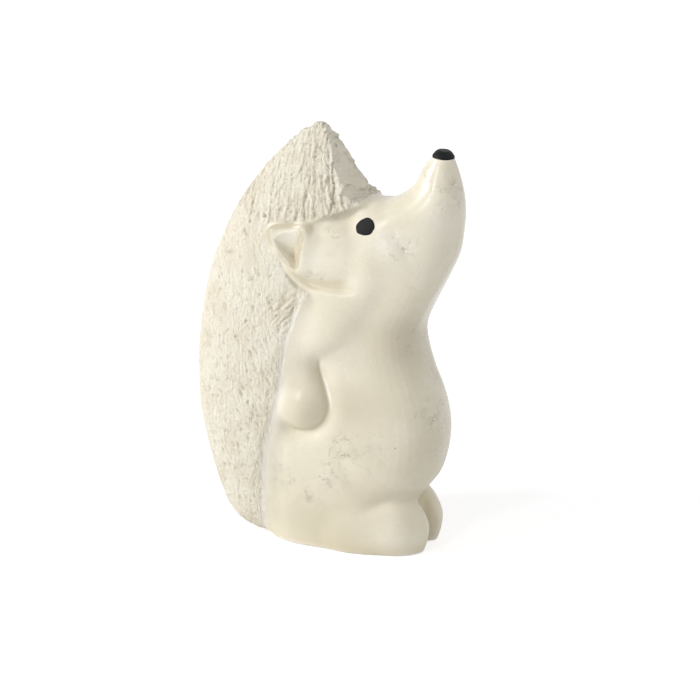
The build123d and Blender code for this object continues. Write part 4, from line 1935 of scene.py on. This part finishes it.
@dataclass
class NoseCap:
    """The enamel nose: a blunt cone with a flat top, painted down to an uneven edge.

    The skirt's rows have shares of the overlap and the radius, the side's of the height and the
    radius, and the top's of the height and the top's radius.
    """

    trunk: Trunk
    diameter: float = 6.1
    top_diameter: float = 3.5
    height: float = 1.9
    overlap: float = 0.6
    skirt_shares: Table = ((-0.8, 0.80), (-1.0, 0.97), (-0.3, 1.00))
    side_shares: Table = ((0.22, 0.985), (0.50, 0.88), (0.80, 0.725))
    top_shares: Table = ((0.95, 1.03), (1.00, 0.90), (1.01, 0.50), (1.01, 0.08))

    def profile(self) -> Array:
        """Rise and reach, from under the paint's lower edge to the middle of the top.

        Returns:
            One rise and reach in each row, in millimetres.
        """
        radius, top = self.diameter / 2, self.top_diameter / 2
        rows = [(up * self.overlap, out * radius) for up, out in self.skirt_shares]
        rows += [(up * self.height, out * radius) for up, out in self.side_shares]
        rows += [(up * self.height, out * top) for up, out in self.top_shares]
        return faired(np.array(rows), 6)

    def build(self) -> bpy.types.Object:
        """Makes the cone round the snout's axis.

        Returns:
            The piece, at the origin.
        """
        end, ahead, across = self.trunk.snout()
        turn = np.linspace(0, 2 * math.pi, 96, endpoint=False)
        edge = 0.3 - 0.2 * np.cos(2 * turn - 0.4) + 0.04 * np.cos(7 * turn)
        edge += 0.06 * (np.cos(turn + 1.2) + np.cos(3 * turn + 0.4))
        wave = 1.0 + 0.012 * np.cos(2 * turn + 1.0) + 0.008 * np.cos(5 * turn)
        rings = []
        for rise, reach in self.profile():
            low = max(0.0, 1.0 - (rise + self.overlap) / (0.6 * self.height))
            ring = end + np.outer(rise + low * edge, ahead)
            ring = ring + np.outer(reach * wave * np.cos(turn), (1.0, 0.0, 0.0))
            rings.append(ring + np.outer(reach * wave * np.sin(turn), across))
        points, quads, ends = capped(np.array(rings))
        return piece_from("enamel_nose", points, quads.tolist() + ends.tolist())

    def dress(self, material: bpy.types.Material) -> bpy.types.Object:
        """Builds the nose and gives it its finish."""
        return seat(self.build(), "nose_cap", material)


# ---- the studio ----


@dataclass(frozen=True)
class Lamp:
    """A soft square lamp, with its place from the figure's middle, in metres, and its watts."""

    name: str
    right: float
    up: float
    toward: float
    size: float
    power: float


@dataclass
class Studio:
    """White floor, soft lamps from the upper left, and the photograph's camera."""

    azimuth: float = -67.0
    elevation: float = 17.0
    distance: float = 780.0
    lens: float = 142.6
    aim_right: float = 5.28
    aim_down: float = 5.22
    middle: float = 0.06
    floor_reach: float = 3.0
    sky: float = 0.41
    lamps: tuple[Lamp, ...] = (
        Lamp("key", -1.36, 0.62, 0.34, 0.6, 16.8),
        Lamp("glint", -0.76, 0.70, 1.14, 0.22, 2.3),
        Lamp("fill", 0.90, 1.10, 0.30, 1.2, 4.6),
    )

    def directions(self) -> tuple[Vector, Vector, Vector]:
        """The ways to the camera, to its right and up.

        Returns:
            Three unit vectors.
        """
        a, e = math.radians(self.azimuth), math.radians(self.elevation)
        back = Vector((math.sin(a) * math.cos(e), -math.cos(a) * math.cos(e), math.sin(e)))
        right = Vector((math.cos(a), math.sin(a), 0.0))
        return back, right, back.cross(right)

    def floor(self) -> None:
        """Lays the floor."""
        mesh = bpy.data.meshes.new("floor")
        corners = [(x * self.floor_reach, y * self.floor_reach, 0.0)
                   for x, y in ((-1, -1), (1, -1), (1, 1), (-1, 1))]
        mesh.from_pydata(corners, [], [(0, 1, 2, 3)])
        mesh.materials.append(StudioWhite().material())
        floor = bpy.data.objects.new("floor", mesh)
        bpy.context.scene.collection.objects.link(floor)

    @staticmethod
    def hang(name: str, data: bpy.types.ID, place: Vector, aim: Vector) -> bpy.types.Object:
        """Puts a lamp or camera in its place.

        Args:
            name: The new object's name.
            data: The lamp or camera.
            place: Where it hangs.
            aim: What it points at.

        Returns:
            The new object.
        """
        made = bpy.data.objects.new(name, data)
        made.location = place
        made.rotation_mode = "QUATERNION"
        made.rotation_quaternion = (aim - place).to_track_quat("-Z", "Y")
        bpy.context.scene.collection.objects.link(made)
        return made

    def light(self, lamp: Lamp) -> None:
        """Hangs a lamp that points at the figure's middle.

        Args:
            lamp: The lamp.
        """
        back, aside, _ = self.directions()
        level = Vector((back.x, back.y, 0.0)).normalized()
        middle = Vector((0.0, 0.0, self.middle))
        data = bpy.data.lights.new(lamp.name, "AREA")
        data.size, data.energy = lamp.size, lamp.power
        away = aside * lamp.right + level * lamp.toward + Vector((0.0, 0.0, lamp.up))
        self.hang(lamp.name, data, middle + away, middle)

    def backdrop(self) -> None:
        """Fills the room with even light, behind a white backdrop."""
        world = bpy.data.worlds.new("studio")
        bench = bench_for(world)
        strength = bench.plus(bench.times(background_rays(bench), 1.0 - self.sky), self.sky)
        inputs = {"Color": (1.0, 1.0, 1.0, 1.0), "Strength": strength}
        light = bench.node("ShaderNodeBackground", inputs)
        bench.node("ShaderNodeOutputWorld", {"Surface": light.outputs[0]})
        bpy.context.scene.world = world

    def camera(self) -> None:
        """Sets up the camera where the photograph was taken from."""
        back, right, up = self.directions()
        middle = Vector((0.0, 0.0, self.middle))
        data = bpy.data.cameras.new("camera")
        data.lens = self.lens
        aim = middle + (right * self.aim_right - up * self.aim_down) * MM
        place = middle + back * self.distance * MM
        bpy.context.scene.camera = self.hang("camera", data, place, aim)

    def set_up(self) -> None:
        """Builds the whole studio."""
        self.floor()
        for lamp in self.lamps:
            self.light(lamp)
        self.backdrop()
        self.camera()
        bpy.context.scene.view_settings.view_transform = "Standard"


def main() -> None:
    """Builds the figure and the studio."""
    logging.basicConfig(level=logging.INFO, format="%(name)s: %(message)s")
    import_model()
    stone = Stone()
    LOG.info("stone measured")
    PolishedBody(stone, PolishedStone()).dress()
    SpineCoat(stone, ChiselledStone()).dress()
    lacquer = BlackLacquer().material()
    for side in Side:
        Eye(stone, side).dress(lacquer)
    NoseCap(stone.trunk).dress(lacquer)
    Studio().set_up()
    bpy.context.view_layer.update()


if __name__ == "__main__":
    main()
